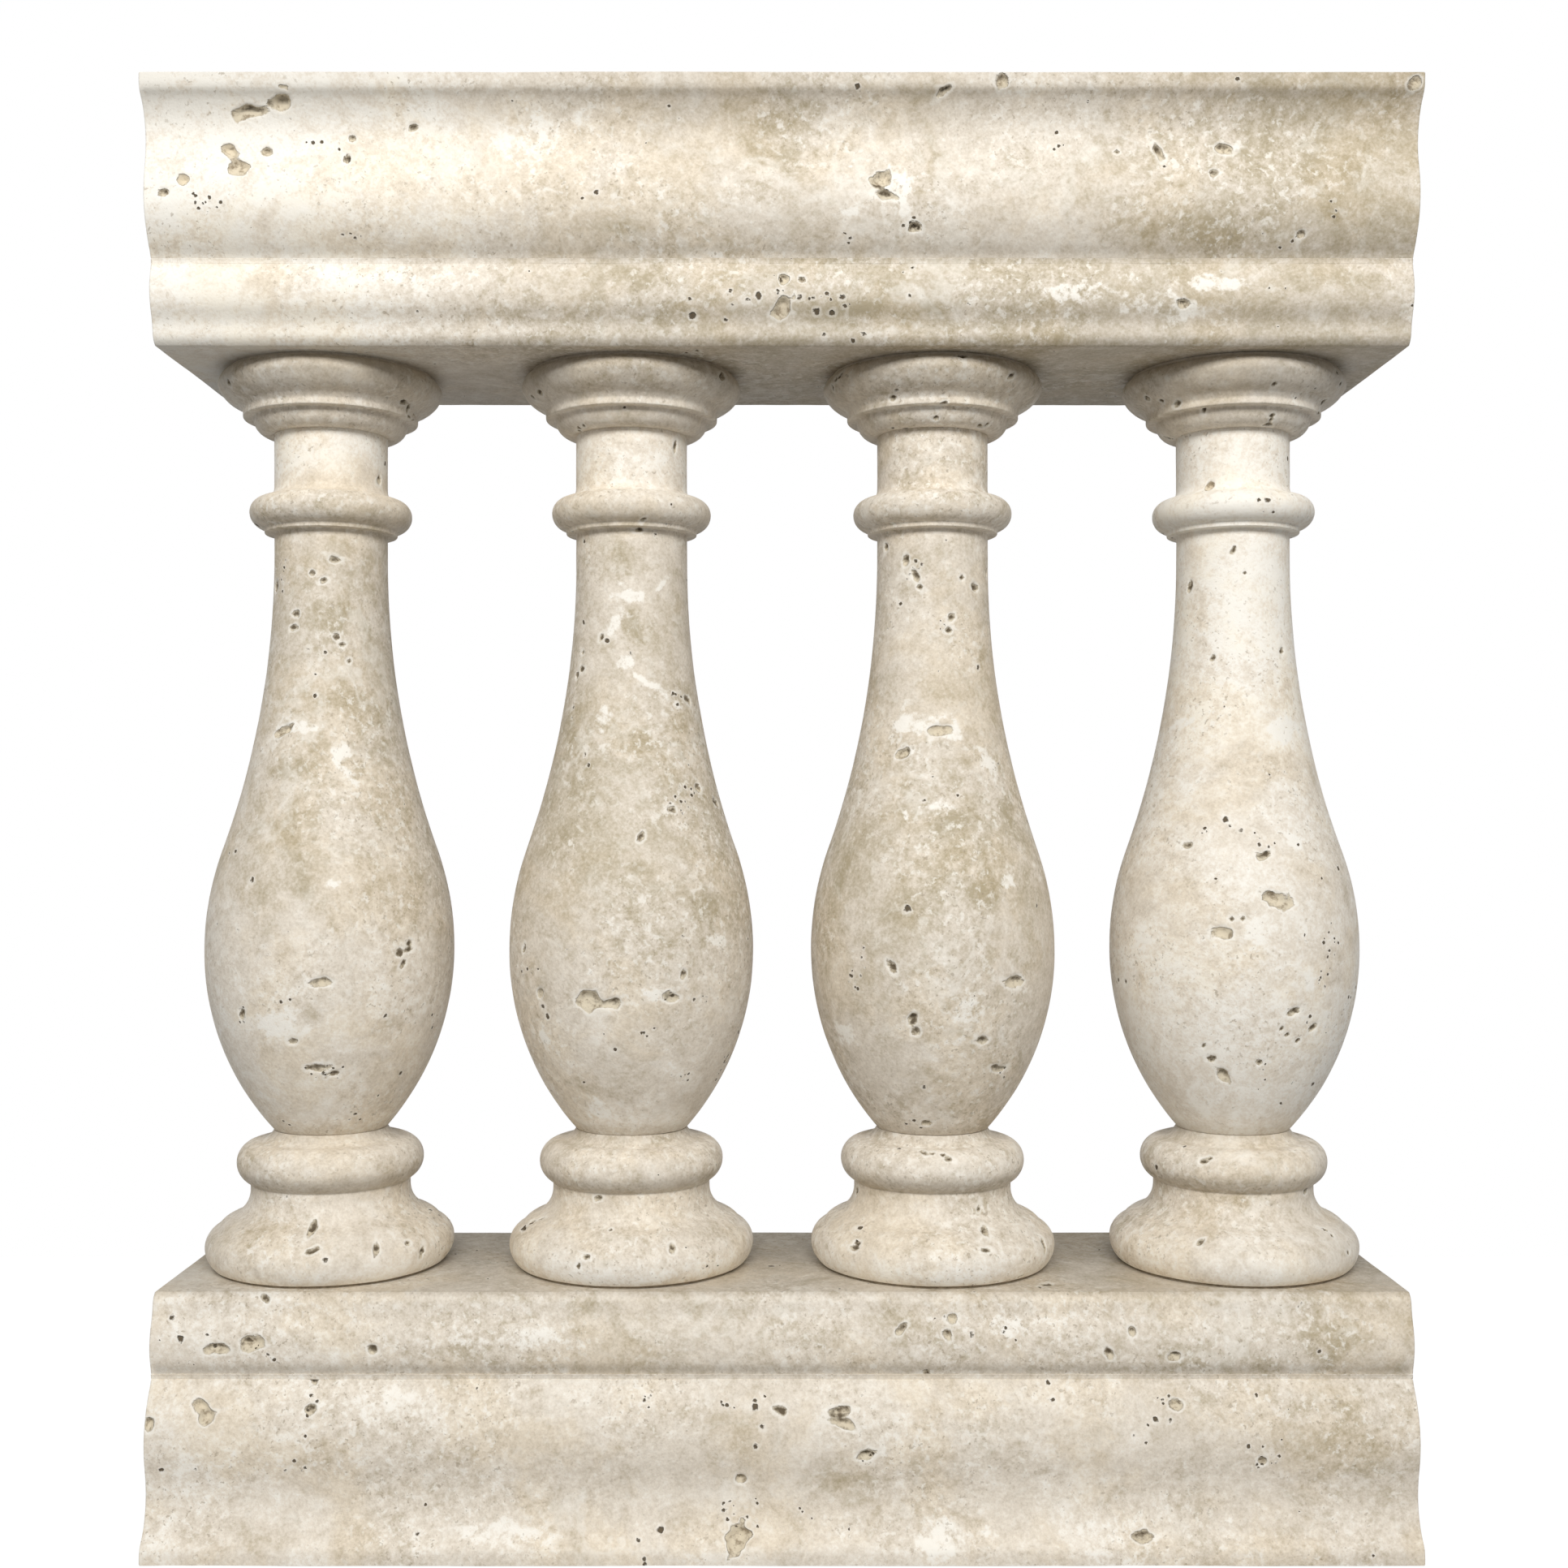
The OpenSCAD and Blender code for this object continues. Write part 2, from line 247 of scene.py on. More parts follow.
def spot(points, normals, ragged, centre, half_length, half_width, tilt=0):
    """How far inside an ellipse on the surface each point lies: 1 at its centre, 0 at its
    ragged rim and less beyond. The tilt of its length is in degrees. Also how far up it
    each point lies, from -1 at its foot to 1 at its head."""
    seat = np.argmin(np.sum((points - centre) ** 2, axis=1))
    normal = normals[seat]
    level = np.cross(NEARLY_UP, normal)
    level /= np.linalg.norm(level)
    rising = np.cross(normal, level)
    turn = np.radians(tilt)
    offset = points - points[seat]
    along = offset @ (level * np.cos(turn) + rising * np.sin(turn)) / half_length
    over = offset @ (rising * np.cos(turn) - level * np.sin(turn)) / half_width
    beside = (np.abs(offset @ normal) > 2 * max(half_length, half_width)) | (normals @ normal < TURNED_AWAY)
    climb = np.clip(offset @ rising / half_width, -1, 1)
    return np.where(beside, FAR_OUTSIDE, 1 - np.hypot(along, over) * (1 + ragged)), climb


RAGGED = (0.4, 5.0), (0.3, 11.0)
WANDER = (0.25, 70.0), (0.12, 18.0)
FRAY = ((0.5, 24.0),)
SET_BACK = 0.1
CHAIN_LINKS, CHAIN_STEP, CHAIN_STRAY = (1, 5), (7, 15), 2.5
STREWN_HALF_WIDTH = 1.6, 2.6
END_FACING = 0.9
BOWL_SIDE, DEEPEST_PIT = 0.6, 5.0
BOWL_SINK, HEADWARD = 0.8, 0.4
FULL_PIT_SHADE, PIT_SHADE_WIDTH, LEAST_PIT_SHADE, PIT_SHADE_RIM = 1.25, 4.0, 0.05, 2.0
PATCHES = {
    "chalk": (0.85, 19.0, 1.3, 0.1),
    "stain": (1.0, 30.0, 1.0, 0.0),
    "porous": (0.9, 40.0, 1.7, 0.3),
}


def weathered(skin, poles, marks, strewn, seed):
    """Lets the faces of a skin wander and sinks pits into it, each a ragged bowl about as
    deep as its half width and deepest at its head. Strewn ones follow in short chains, off
    the end faces. Returns the skin and, at each point, the mm inside a pit, the painted
    shade in it, which narrow pits have most of and which is deepest at their head, and the
    shares of chalk, of stain and of fine pores. A patch wider than its full width is fainter."""
    rng = np.random.default_rng(seed)
    points = skin.reshape(-1, 3)
    normals = outward(skin, points.mean(axis=0)).reshape(-1, 3)
    ragged = drifts(points, RAGGED, seed + 1)
    pits = list(marks["pits"])
    area = np.linalg.norm(np.cross(np.gradient(skin, axis=0), np.roll(skin, -1, 1) - skin), axis=-1)
    length = poles[1] - poles[0]
    area = area.ravel() * (np.abs(normals @ length) < END_FACING * np.linalg.norm(length))
    for start in rng.choice(len(points), strewn, p=area / area.sum()):
        heading = rng.uniform(-1, 1, 3)
        for link in range(rng.integers(*CHAIN_LINKS)):
            half_width = rng.uniform(*STREWN_HALF_WIDTH)
            centre = points[start] + heading * link * rng.uniform(*CHAIN_STEP)
            centre = centre + rng.normal(0, CHAIN_STRAY, 3)
            pits.append((centre, half_width * rng.uniform(1, 2), half_width, rng.uniform(0, 180)))
    inside = np.full(len(points), FAR_OUTSIDE)
    sunk, pit_shade = np.zeros((2, len(points)))
    for pit in pits:
        half_width = min(pit[1:3])
        share, climb = spot(points, normals, ragged, *pit)
        depth = share * half_width
        inside = np.maximum(inside, depth)
        bowl = smooth(depth / (BOWL_SIDE * half_width)) * (BOWL_SINK + HEADWARD * climb)
        sunk = np.maximum(sunk, min(half_width, DEEPEST_PIT) * bowl)
        # Painted shade in the pit, most in narrow pits and towards their head.
        shade = np.clip(FULL_PIT_SHADE - half_width / PIT_SHADE_WIDTH + HEADWARD * climb, LEAST_PIT_SHADE, 1)
        pit_shade = np.where(depth > -PIT_SHADE_RIM, np.maximum(pit_shade, shade), pit_shade)
    wander = drifts(points, WANDER, seed + 3)
    frayed = ragged + drifts(points, FRAY, seed + 5)
    shares = {"pit_depth": inside, "pit_shade": pit_shade}
    for kind, (full_share, full_width, edge_slope, spread) in PATCHES.items():
        shares[kind] = np.zeros(len(points))
        for mark in marks.get(kind, []):
            strength = min(full_share, full_width / np.sqrt(mark[1] * mark[2]))
            patch = smooth(edge_slope * (spot(points, normals, frayed, *mark)[0] + spread))
            shares[kind] = np.maximum(shares[kind], strength * patch)
    points = points + normals * (wander - SET_BACK - sunk)[:, None]
    return points.reshape(skin.shape), shares


def stand(name, data):
    """Puts mesh, lamp or camera data into the scene as an object."""
    made = bpy.data.objects.new(name, data)
    bpy.context.scene.collection.objects.link(made)
    return made


def stone_mesh(name, skin, poles, marks):
    """Closed mesh of a skin in mm: quads between rows and columns, and a fan at each pole.
    The faces are turned over if the volume they enclose comes out negative."""
    rows, columns = skin.shape[:2]
    points = np.vstack([skin.reshape(-1, 3), poles]) * MM
    index = np.arange(rows * columns).reshape(rows, columns)
    beside = np.roll(index, -1, axis=1)
    quads = np.stack([index[:-1], beside[:-1], beside[1:], index[1:]], axis=-1).reshape(-1, 4)
    first, last = rows * columns, rows * columns + 1
    fans = np.vstack([
        np.stack([np.full(columns, first), beside[0], index[0]], axis=1),
        np.stack([np.full(columns, last), index[-1], beside[-1]], axis=1),
    ])
    a, b, c = points[quads[:, 0]], points[quads[:, 1]], points[quads[:, 2]]
    if np.sum(np.cross(a, b) * c) < 0:
        quads, fans = quads[:, ::-1], fans[:, ::-1]
    mesh = bpy.data.meshes.new(name)
    mesh.from_pydata(points, [], [*quads.tolist(), *fans.tolist()])
    mesh.polygons.foreach_set("use_smooth", np.ones(len(mesh.polygons), bool))
    for mark, values in marks.items():
        kept = mesh.attributes.new(mark, "FLOAT", "POINT")
        kept.data.foreach_set("value", np.append(values, values[[0, -1]]).astype(np.float32))
    mesh.update()
    return stand(name, mesh)


def put(tree, kind, inputs=None, **settings):
    """Adds a shader node with its settings, and links or sets its inputs."""
    made = tree.nodes.new(kind)
    for key, value in settings.items():
        setattr(made, key, value)
    for socket, value in (inputs or {}).items():
        if isinstance(value, bpy.types.NodeSocket):
            tree.links.new(value, made.inputs[socket])
        else:
            made.inputs[socket].default_value = value
    return made


def cloud(tree, vector, scale, detail=4.0, roughness=0.6, distortion=0.0):
    """Noise at a number of features to the metre."""
    inputs = {"Vector": vector, "Scale": scale, "Detail": detail}
    inputs |= {"Roughness": roughness, "Distortion": distortion}
    return put(tree, "ShaderNodeTexNoise", inputs).outputs["Fac"]


def eased(tree, value, low, high, to_low=0.0, to_high=1.0):
    """Value eased from one level to another between two thresholds."""
    inputs = {"Value": value, "From Min": low, "From Max": high, "To Min": to_low, "To Max": to_high}
    return put(tree, "ShaderNodeMapRange", inputs, interpolation_type="SMOOTHSTEP").outputs["Result"]


def sums(tree, operation, a, b=0.0, c=0.0):
    """One step of arithmetic on up to three values."""
    return put(tree, "ShaderNodeMath", {0: a, 1: b, 2: c}, operation=operation).outputs[0]


def swayed(tree, base, parts):
    """Base moved by each field's distance from its mean, times a weight."""
    for field, weight in parts:
        base = sums(tree, "MULTIPLY_ADD", sums(tree, "SUBTRACT", field, 0.5), weight, base)
    return base


def tinted(tree, share, under, over, blend="MIX"):
    """Colour that goes from one to another, or to the product of both, with a share."""
    inputs = {0: share, 6: under, 7: over}
    return put(tree, "ShaderNodeMix", inputs, data_type="RGBA", blend_type=blend).outputs[2]


def tone(red, green, blue):
    """Display colour from 0 to 255 as the linear colour that a shader takes."""
    part = np.array([red, green, blue]) / 255
    return (*np.where(part < 0.04045, part / 12.92, ((part + 0.055) / 1.055) ** 2.4).tolist(), 1.0)


OLIVE, TAN, CREAM = tone(182, 169, 142), tone(204, 192, 170), tone(223, 212, 195)
PALE, CHALK = tone(238, 228, 212), tone(253, 248, 237)
UMBER, PIT_FLOOR, SPECK = tone(104, 92, 74), tone(222, 210, 186), tone(158, 143, 120)
# The grey tint after WARM darkens the stone as painted shade.
WARM, SHADE_TINT = tone(255, 252, 246), tone(186, 184, 180)
SWIRL = 0.07, 0.07, 0.07
STONE_MARKS = "pit_depth", "pit_shade", "chalk", "stain", "porous", "painted_shade", "paleness_and_painted_light"


def fine_pores(tree, bed, scale, share):
    """Small pits, one to a cell of a Voronoi pattern, as holes and the pale rims round them.
    A pit is the wider the further the share passes the lot of its cell."""
    cells = put(tree, "ShaderNodeTexVoronoi", {"Vector": bed, "Scale": scale}).outputs
    lot = put(tree, "ShaderNodeSeparateColor", {0: cells["Color"]}).outputs["Red"]
    radius = eased(tree, sums(tree, "SUBTRACT", share, lot), 0.0, 0.6, 0.0, 0.3)
    torn = swayed(tree, cells["Distance"], [(cloud(tree, bed, 2.6 * scale, 2.0), 0.5)])
    reach = sums(tree, "DIVIDE", torn, sums(tree, "MAXIMUM", radius, 0.004))
    open_pit = eased(tree, radius, 0.02, 0.06)
    hole = sums(tree, "MULTIPLY", eased(tree, reach, 0.6, 1.1, 1.0, 0.0), open_pit)
    rim = sums(tree, "MULTIPLY", eased(tree, reach, 1.2, 2.4, 0.4, 0.0), open_pit)
    return hole, rim


def travertine_grain():
    """Colour, roughness and height in mm of travertine at a place in its bed: cream clouds,
    tan and olive stains, busy parts full of pale flakes and brown specks, chalky patches
    and veins, and fine pores with pale rims. Pits cut into the mesh, with painted shade in
    them, and the chalk, stains, pores, painted shade and paleness laid on it, come in as
    shares; the paleness is in places painted light."""
    tree = bpy.data.node_groups.new("travertine_grain", "ShaderNodeTree")
    tree.interface.new_socket("Bedding", in_out="INPUT", socket_type="NodeSocketVector")
    for name in STONE_MARKS:
        tree.interface.new_socket(name, in_out="INPUT", socket_type="NodeSocketFloat")
    for name, kind in [("Color", "Color"), ("Roughness", "Float"), ("Height", "Float")]:
        tree.interface.new_socket(name, in_out="OUTPUT", socket_type="NodeSocket" + kind)
    given = put(tree, "NodeGroupInput").outputs
    bed = given["Bedding"]
    swirl = put(tree, "ShaderNodeTexNoise", {"Vector": bed, "Scale": 9.0, "Detail": 3.0}).outputs["Color"]
    stirred = {0: swirl, 1: SWIRL, 2: bed}
    bent = put(tree, "ShaderNodeVectorMath", stirred, operation="MULTIPLY_ADD").outputs[0]
    broad = cloud(tree, bent, 7.0, 4.0)
    mottle = cloud(tree, bent, 34.0, 5.0, 0.62)
    crumb = cloud(tree, bed, 150.0, 3.0, 0.7)
    fine = cloud(tree, bed, 420.0, 2.0)
    busy = eased(tree, cloud(tree, bent, 10.0, 3.0), 0.4, 0.6)

    stained = swayed(tree, sums(tree, "MULTIPLY", given["stain"], 0.7), [(broad, -1.2), (mottle, -0.8)])
    stained = eased(tree, stained, -0.2, 0.9)
    # The paleness share lifts the stone's level: its own tone along the courses, and painted light on the
    # foot rings and the upper necks of the shafts.
    level = sums(tree, "MULTIPLY_ADD", stained, -0.24, sums(tree, "ADD", given["paleness_and_painted_light"], 0.62))
    level = sums(tree, "MULTIPLY_ADD", given["chalk"], 0.1, level)
    soft = cloud(tree, bent, 80.0, 2.0, 0.5, 0.5)
    speckle = sums(tree, "MULTIPLY_ADD", busy, 0.6, 0.3)
    level = swayed(tree, level, [(mottle, 0.5), (soft, 0.35), (crumb, speckle), (fine, 0.5)])
    ramp = put(tree, "ShaderNodeValToRGB", {0: level})
    stops = ramp.color_ramp.elements
    stops[0].position, stops[0].color = 0.2, OLIVE
    stops[1].position, stops[1].color = 0.9, CHALK
    for position, colour in [(0.38, TAN), (0.54, CREAM), (0.70, PALE)]:
        stops.new(position).color = colour
    warm = eased(tree, cloud(tree, bent, 13.0), 0.45, 0.62)
    colour = tinted(tree, warm, ramp.outputs["Color"], WARM, "MULTIPLY")

    chalky = eased(tree, swayed(tree, given["chalk"], [(mottle, 1.6), (crumb, 2.0)]), 0.4, 0.95, 0.0, 0.95)
    ridge = sums(tree, "ABSOLUTE", sums(tree, "SUBTRACT", cloud(tree, bent, 5.5, 5.0, 0.66), 0.5))
    veined = eased(tree, cloud(tree, bed, 6.0, 2.0), 0.5, 0.6)
    veins = sums(tree, "MULTIPLY", eased(tree, ridge, 0.0, 0.03, 0.35, 0.0), veined)
    flakes = eased(tree, cloud(tree, bed, 170.0, 3.0, 0.6, 0.25), 0.53, 0.68)
    flakes = sums(tree, "MULTIPLY", flakes, sums(tree, "MULTIPLY_ADD", busy, 0.5, 0.2))
    blotches = eased(tree, cloud(tree, bent, 60.0, 4.0, 0.65, 0.3), 0.53, 0.73, 0.0, 0.4)
    for share in (chalky, veins, blotches, flakes):
        colour = tinted(tree, share, colour, CHALK)
    specks = eased(tree, cloud(tree, bed, 260.0, 2.0), 0.62, 0.7)
    specks = sums(tree, "MULTIPLY", specks, sums(tree, "MULTIPLY_ADD", busy, 0.4, 0.14))
    colour = tinted(tree, specks, colour, SPECK)

    porous = eased(tree, cloud(tree, bed, 16.0, 3.0), 0.48, 0.68, 0.0, 0.55)
    sparse, sparse_rim = fine_pores(tree, bed, 105.0, porous)
    porous = sums(tree, "MAXIMUM", given["porous"], sums(tree, "MULTIPLY", porous, 0.4))
    close, close_rim = fine_pores(tree, bed, 210.0, porous)
    pores = sums(tree, "MAXIMUM", sparse, close)

    depth = swayed(tree, given["pit_depth"], [(cloud(tree, bed, 280.0, 3.0), 2.6)])
    cut = eased(tree, depth, -0.3, 0.6)
    cut_rim = eased(tree, depth, -2.6, -0.4, 0.0, 0.6)
    # Painted shade in the pits: their floor goes towards umber.
    pit_shade = swayed(tree, given["pit_shade"], [(cloud(tree, bed, 240.0, 3.0), 1.2)])
    pit_shade = sums(tree, "MULTIPLY", eased(tree, pit_shade, 0.2, 0.75), eased(tree, depth, 0.0, 1.4))
    for rim in (sparse_rim, close_rim, cut_rim):
        colour = tinted(tree, rim, colour, CHALK)
    floor = tinted(tree, eased(tree, crumb, 0.46, 0.7), PIT_FLOOR, SPECK)
    colour = tinted(tree, cut, colour, tinted(tree, pit_shade, floor, UMBER))
    colour = tinted(tree, pores, colour, UMBER)
    # Painted shade: the stone is darkened where creases, undersides and other shaded places are marked.
    colour = tinted(tree, given["painted_shade"], colour, SHADE_TINT, "MULTIPLY")

    height = swayed(tree, 0.0, [(crumb, 0.4), (fine, 0.2)])
    height = sums(tree, "MULTIPLY_ADD", pores, -1.4, height)
    height = sums(tree, "MULTIPLY_ADD", cut, -0.7, height)
    rough = eased(tree, sums(tree, "MAXIMUM", cut, pores), 0.0, 1.0, 0.62, 0.95)
    put(tree, "NodeGroupOutput", {"Color": colour, "Roughness": rough, "Height": height})
    return tree


grain = travertine_grain()


def travertine(name, turn, shift):
    """Stone from its own place in the quarry: the bed is turned and shifted for each."""
    material = bpy.data.materials.new(name)
    material.use_nodes = True
    tree = material.node_tree
    place = put(tree, "ShaderNodeTexCoord").outputs["Object"]
    bedding = {"Vector": place, "Rotation": turn, "Location": shift}
    inputs = {"Bedding": put(tree, "ShaderNodeMapping", bedding).outputs["Vector"]}
    for mark in STONE_MARKS:
        inputs[mark] = put(tree, "ShaderNodeAttribute", attribute_name=mark).outputs["Fac"]
    cut = put(tree, "ShaderNodeGroup", inputs, node_tree=grain).outputs
    bump = put(tree, "ShaderNodeBump", {"Height": cut["Height"], "Distance": MM}).outputs["Normal"]
    shader = tree.nodes["Principled BSDF"]
    shader.inputs["Specular IOR Level"].default_value = 0.3
    tree.links.new(cut["Color"], shader.inputs["Base Color"])
    tree.links.new(cut["Roughness"], shader.inputs["Roughness"])
    tree.links.new(bump, shader.inputs["Normal"])
    return material


def set_stone(node, skin, marks, material, painted_shade, paleness_and_painted_light, strewn, seed):
    """Weathers a stone, gives it its material and puts it in the place of its CAD node."""
    skin, poles = skin
    painted_shade, paleness_and_painted_light = (np.broadcast_to(share, skin.shape[:2]).ravel() for share in (painted_shade, paleness_and_painted_light))
    skin, shares = weathered(skin, poles, marks, strewn, seed)
    stone = stone_mesh("stone_" + node, skin, poles, {**shares, "painted_shade": painted_shade, "paleness_and_painted_light": paleness_and_painted_light})
    stone.data.materials.append(material)
    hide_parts(node)
    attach(stone, "root")


def underside_shade(skin, share):
    """Share of painted shade on faces that look down."""
    return share * smooth(-2 * outward(skin, skin.mean(axis=(0, 1)))[..., 2])


def crease_shade(skin, height, reach, share):
    """Share of painted shade in a crease that runs along a course at a height, fading over a reach."""
    end = np.abs(skin[..., 0]).max() - 2 * SAWN_END_WEAR
    near = np.exp(-(((skin[..., 2] - height) / reach) ** 2))
    return share * near * (np.abs(skin[..., 0]) < end)


FRONT_Y = -130.0


def on_front(**marks):
    """Marks on a course's front, each given by its place along it, its height and its shape."""
    return {kind: [((x, FRONT_Y, z), *shape) for x, z, *shape in kept] for kind, kept in marks.items()}


plinth_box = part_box("plinth")
course_height = plinth_box[1].z / MM + JOINT_HEIGHT + BAND_HEIGHT + TORUS_HEIGHT
course_line = course_outline(plinth_box[1].y / MM, course_height)
joint_low = BAND_HEIGHT + TORUS_HEIGHT
joint_high = joint_low + JOINT_HEIGHT
moulding = part_of(course_line, joint_high, course_height)
plinth_marks = on_front(
    pits=[(-433, 118, 8, 5, -30), (-428, 108, 6, 7), (-470, 104, 4, 5), (-352, 117, 4, 3.5, 40),
        (43, 114, 8, 4, 20), (44, 104, 11, 4, -15), (62, 76, 7, 3.5, 20), (-30, 56, 4.5, 4.5),
        (-34, 18, 13, 8, 70), (293, 121, 5, 4), (357, 73, 4, 3.5), (266, 23, 6, 4, 10)],
    chalk=[(240, 21, 57, 24, -10), (119, 18, 36, 15), (-292, 114, 60, 24), (-207, 24, 42, 18)],
    stain=[(-44, 108, 60, 30), (421, 84, 42, 54), (-383, 18, 72, 16), (58, 54, 54, 18)],
    porous=[(-350, 125, 10, 5, 70), (-433, 68, 8, 6, 60), (-360, 68, 13, 4, 15), (-101, 125, 11, 5, 15),
        (-41, 121, 8, 5), (272, 95, 7, 5, 70), (360, 72, 14, 6, 50), (284, 128, 7, 4), (-35, 40, 18, 7),
        (60, 75, 11, 5, 15), (16, 36, 14, 6)],
)
GROOVE_RISE = 4.0
BASE_GROOVE_REACH, BASE_GROOVE_SHADE = 4.5, 0.6


def base_groove_shade(skin):
    """Painted shade in the groove between plinth and slab, most of it low on the slab."""
    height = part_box("base_slab")[0].z / MM + GROOVE_RISE
    return crease_shade(skin, height, BASE_GROOVE_REACH, BASE_GROOVE_SHADE)


plinth_skin = course_skin(moulding, plinth_box, True, BED_STEP, BED_STEP, plinth_marks["pits"])
plinth_stone = travertine("travertine_plinth", (0.5, 0.3, 0.2), (0.7, 0.1, 0.4))
PLINTH_PLACES, PLINTH_PALENESS = (-420, -300, 200, 350), (0.1, 0.0, 0.03, -0.04)
plinth_paleness = np.interp(plinth_skin[0][..., 0], PLINTH_PLACES, PLINTH_PALENESS)
# Painted shade near the groove at the plinth's top.
plinth_shade = base_groove_shade(plinth_skin[0])
set_stone(
    "plinth", plinth_skin, plinth_marks, plinth_stone, plinth_shade, plinth_paleness,
    strewn=8, seed=11,
)

# Joint of the base: a strip of lime mortar between plinth and slab, mixed with dust of the
# same stone and rubbed flush over the arrises, so that the groove runs on through it.
RUBBED_OVER = 0.4


def rub_joint(node, stone_box, material, groove, places, paleness_and_painted_light):
    """Fills a course's joint with the stretch of the course's outline there, with the same
    painted shade as its groove and as pale as the stone beside it."""
    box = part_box(node)
    strip = part_of(course_line, joint_low - RUBBED_OVER, joint_high + RUBBED_OVER)
    ends = [stone_box[0].copy(), stone_box[1].copy()]
    ends[0].z, ends[1].z = box[0].z - RUBBED_OVER * MM, box[1].z + RUBBED_OVER * MM
    skin, poles = course_skin(strip, ends, False, BED_STEP, BED_STEP, [])
    marks = {"pit_depth": np.full(skin[..., 0].size, FAR_OUTSIDE), "painted_shade": groove(skin).ravel()}
    marks["paleness_and_painted_light"] = np.interp(skin[..., 0], places, paleness_and_painted_light).ravel()
    made = stone_mesh("rubbed_" + node, skin, poles, marks)
    made.data.materials.append(material)
    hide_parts(node)
    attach(made, "root")


rub_joint("plinth_joint", plinth_box, plinth_stone, base_groove_shade, PLINTH_PLACES, PLINTH_PALENESS)

# Slab of the base: the upper stone of the base, with a rounded moulding under a plain band.
# Its wide top is the seat of the balusters, and its edge was eased by hand.
slab_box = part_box("base_slab")
slab = part_of(course_line, 0, joint_low)
slab_marks = on_front(
    pits=[(-423, 152, 12, 4, 5), (-398, 158, 7, 5.5, 20), (-307, 150, 4, 3, 20), (89, 175, 7, 3, 45),
        (129, 184, 5, 4, 40), (125, 171, 3.5, 4), (262, 173, 3.5, 4.5), (246, 148, 6, 3, -50),
        (294, 146, 5, 3.5)],
    chalk=[(168, 178, 37, 10), (-197, 166, 73, 11)],
    stain=[(107, 178, 67, 22), (-148, 187, 37, 9), (-246, 150, 24, 9), (412, 166, 49, 18)],
    porous=[(171, 166, 6, 9), (246, 154, 15, 5, -58), (-383, 146, 12, 4, -30), (-353, 146, 7, 5, 70),
        (-283, 174, 5, 4), (405, 151, 5, 5)],
)
slab_skin = course_skin(slab, slab_box, True, BED_STEP, TOP_STEP, slab_marks["pits"])
slab_depth, slab_height = np.moveaxis(slab_skin[0] - [0, 0, slab_box[1].z / MM], -1, 0)[1:]
# Painted shade on the slab's top, where the balusters stand, darker towards the back, and in the groove at
# its foot.
SEAT_SHADE, MORE_BEHIND, SHADE_FRONT, SHADE_RUN = 0.4, 0.6, 90.0, 150.0
behind = smooth((slab_depth + SHADE_FRONT) / SHADE_RUN)
slab_shade = (SEAT_SHADE + MORE_BEHIND * behind) * smooth((slab_height + BAND_EDGE) / BAND_EDGE)
slab_shade += base_groove_shade(slab_skin[0])
slab_stone = travertine("travertine_slab", (0.2, 0.6, 0.9), (0.2, 0.8, 0.3))
SLAB_PLACES, SLAB_PALENESS = (-350, -200, 200, 350), (0.07, -0.03, -0.04, -0.1)
slab_paleness = np.interp(slab_skin[0][..., 0], SLAB_PLACES, SLAB_PALENESS)
set_stone(
    "base_slab", slab_skin, slab_marks, slab_stone, slab_shade, slab_paleness,
    strewn=6, seed=21,
)

# Beds of the balusters: thin discs of sandy lime mortar under each foot and over each cap,
# raked back from the turned stone. Those under the feet are painted darker, as painted
# shade for the contact shadow under each foot.
TOP_LIGHT, TOP_DARK = tone(224, 213, 196), tone(204, 192, 173)
SHADOWED_BED_LIGHT, SHADOWED_BED_DARK = tone(150, 138, 118), tone(112, 101, 84)
BALUSTERS = range(1, 5)


def lime_mortar(name, light, dark):
    """Sandy lime mortar: grains of two tones, with a grainy face."""
    material = bpy.data.materials.new(name)
    material.use_nodes = True
    tree = material.node_tree
    place = put(tree, "ShaderNodeTexCoord").outputs["Object"]
    sand = cloud(tree, place, 160.0, 5.0, 0.75)
    shader = tree.nodes["Principled BSDF"]
    shader.inputs["Roughness"].default_value = 0.95
    colour = tinted(tree, eased(tree, sand, 0.3, 0.7), dark, light)
    tree.links.new(colour, shader.inputs["Base Color"])
    bump = put(tree, "ShaderNodeBump", {"Height": sand, "Distance": 0.3 * MM}).outputs["Normal"]
    tree.links.new(bump, shader.inputs["Normal"])
    return material


shaded_mortar = lime_mortar("shaded_mortar", SHADOWED_BED_LIGHT, SHADOWED_BED_DARK)
dry_mortar = lime_mortar("dry_mortar", TOP_LIGHT, TOP_DARK)
for number in BALUSTERS:
    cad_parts[f"baluster_{number}_bed"].material_slots[0].material = shaded_mortar
    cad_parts[f"baluster_{number}_top_bed"].material_slots[0].material = dry_mortar

# Feet: the lowest stones of the balusters, turned on a lathe with a bottom ring, a quarter
# round, a hollow, an upper ring and a small flare, and set in mortar on the slab.
FOOT_CONTACT, FOOT_RING, FOOT_RING_TOP, FOOT_RING_HEIGHT = 91.5, 98.0, 88.0, 30.0
FOOT_BEAD_TOP, FOOT_BEAD_HEIGHT, FOOT_BEAD_BULGE = 78.5, 7.5, 1.0
SCOTIA_TOP, SCOTIA_HEIGHT, SCOTIA_SINK, FOOT_BAND_HEIGHT = 63.0, 20.5, 4.0, 6.5
COLLAR, COLLAR_TOP, COLLAR_HEIGHT = 73.75, 55.0, 33.5
FOOT_FLARE_SINK = 1.4
NECK = 44.7
TURNED_WEAR = 0.9
TURNED_FRONT = 1.7
FOOT_STEP = 2.9
BED_SLOPE = 0.02
FOOT_UNDERSIDE_SHADE, FLARE_SHADE, FLARE_REACH, RING_PAINTED_LIGHT = 0.5, 0.4, 10.0, 0.2


def ring(p, widest, q):
    """Ring that swells from p to its widest line and back in to q."""
    return np.vstack([arc_to_upright(p, widest), arc_from_upright(widest, q)])


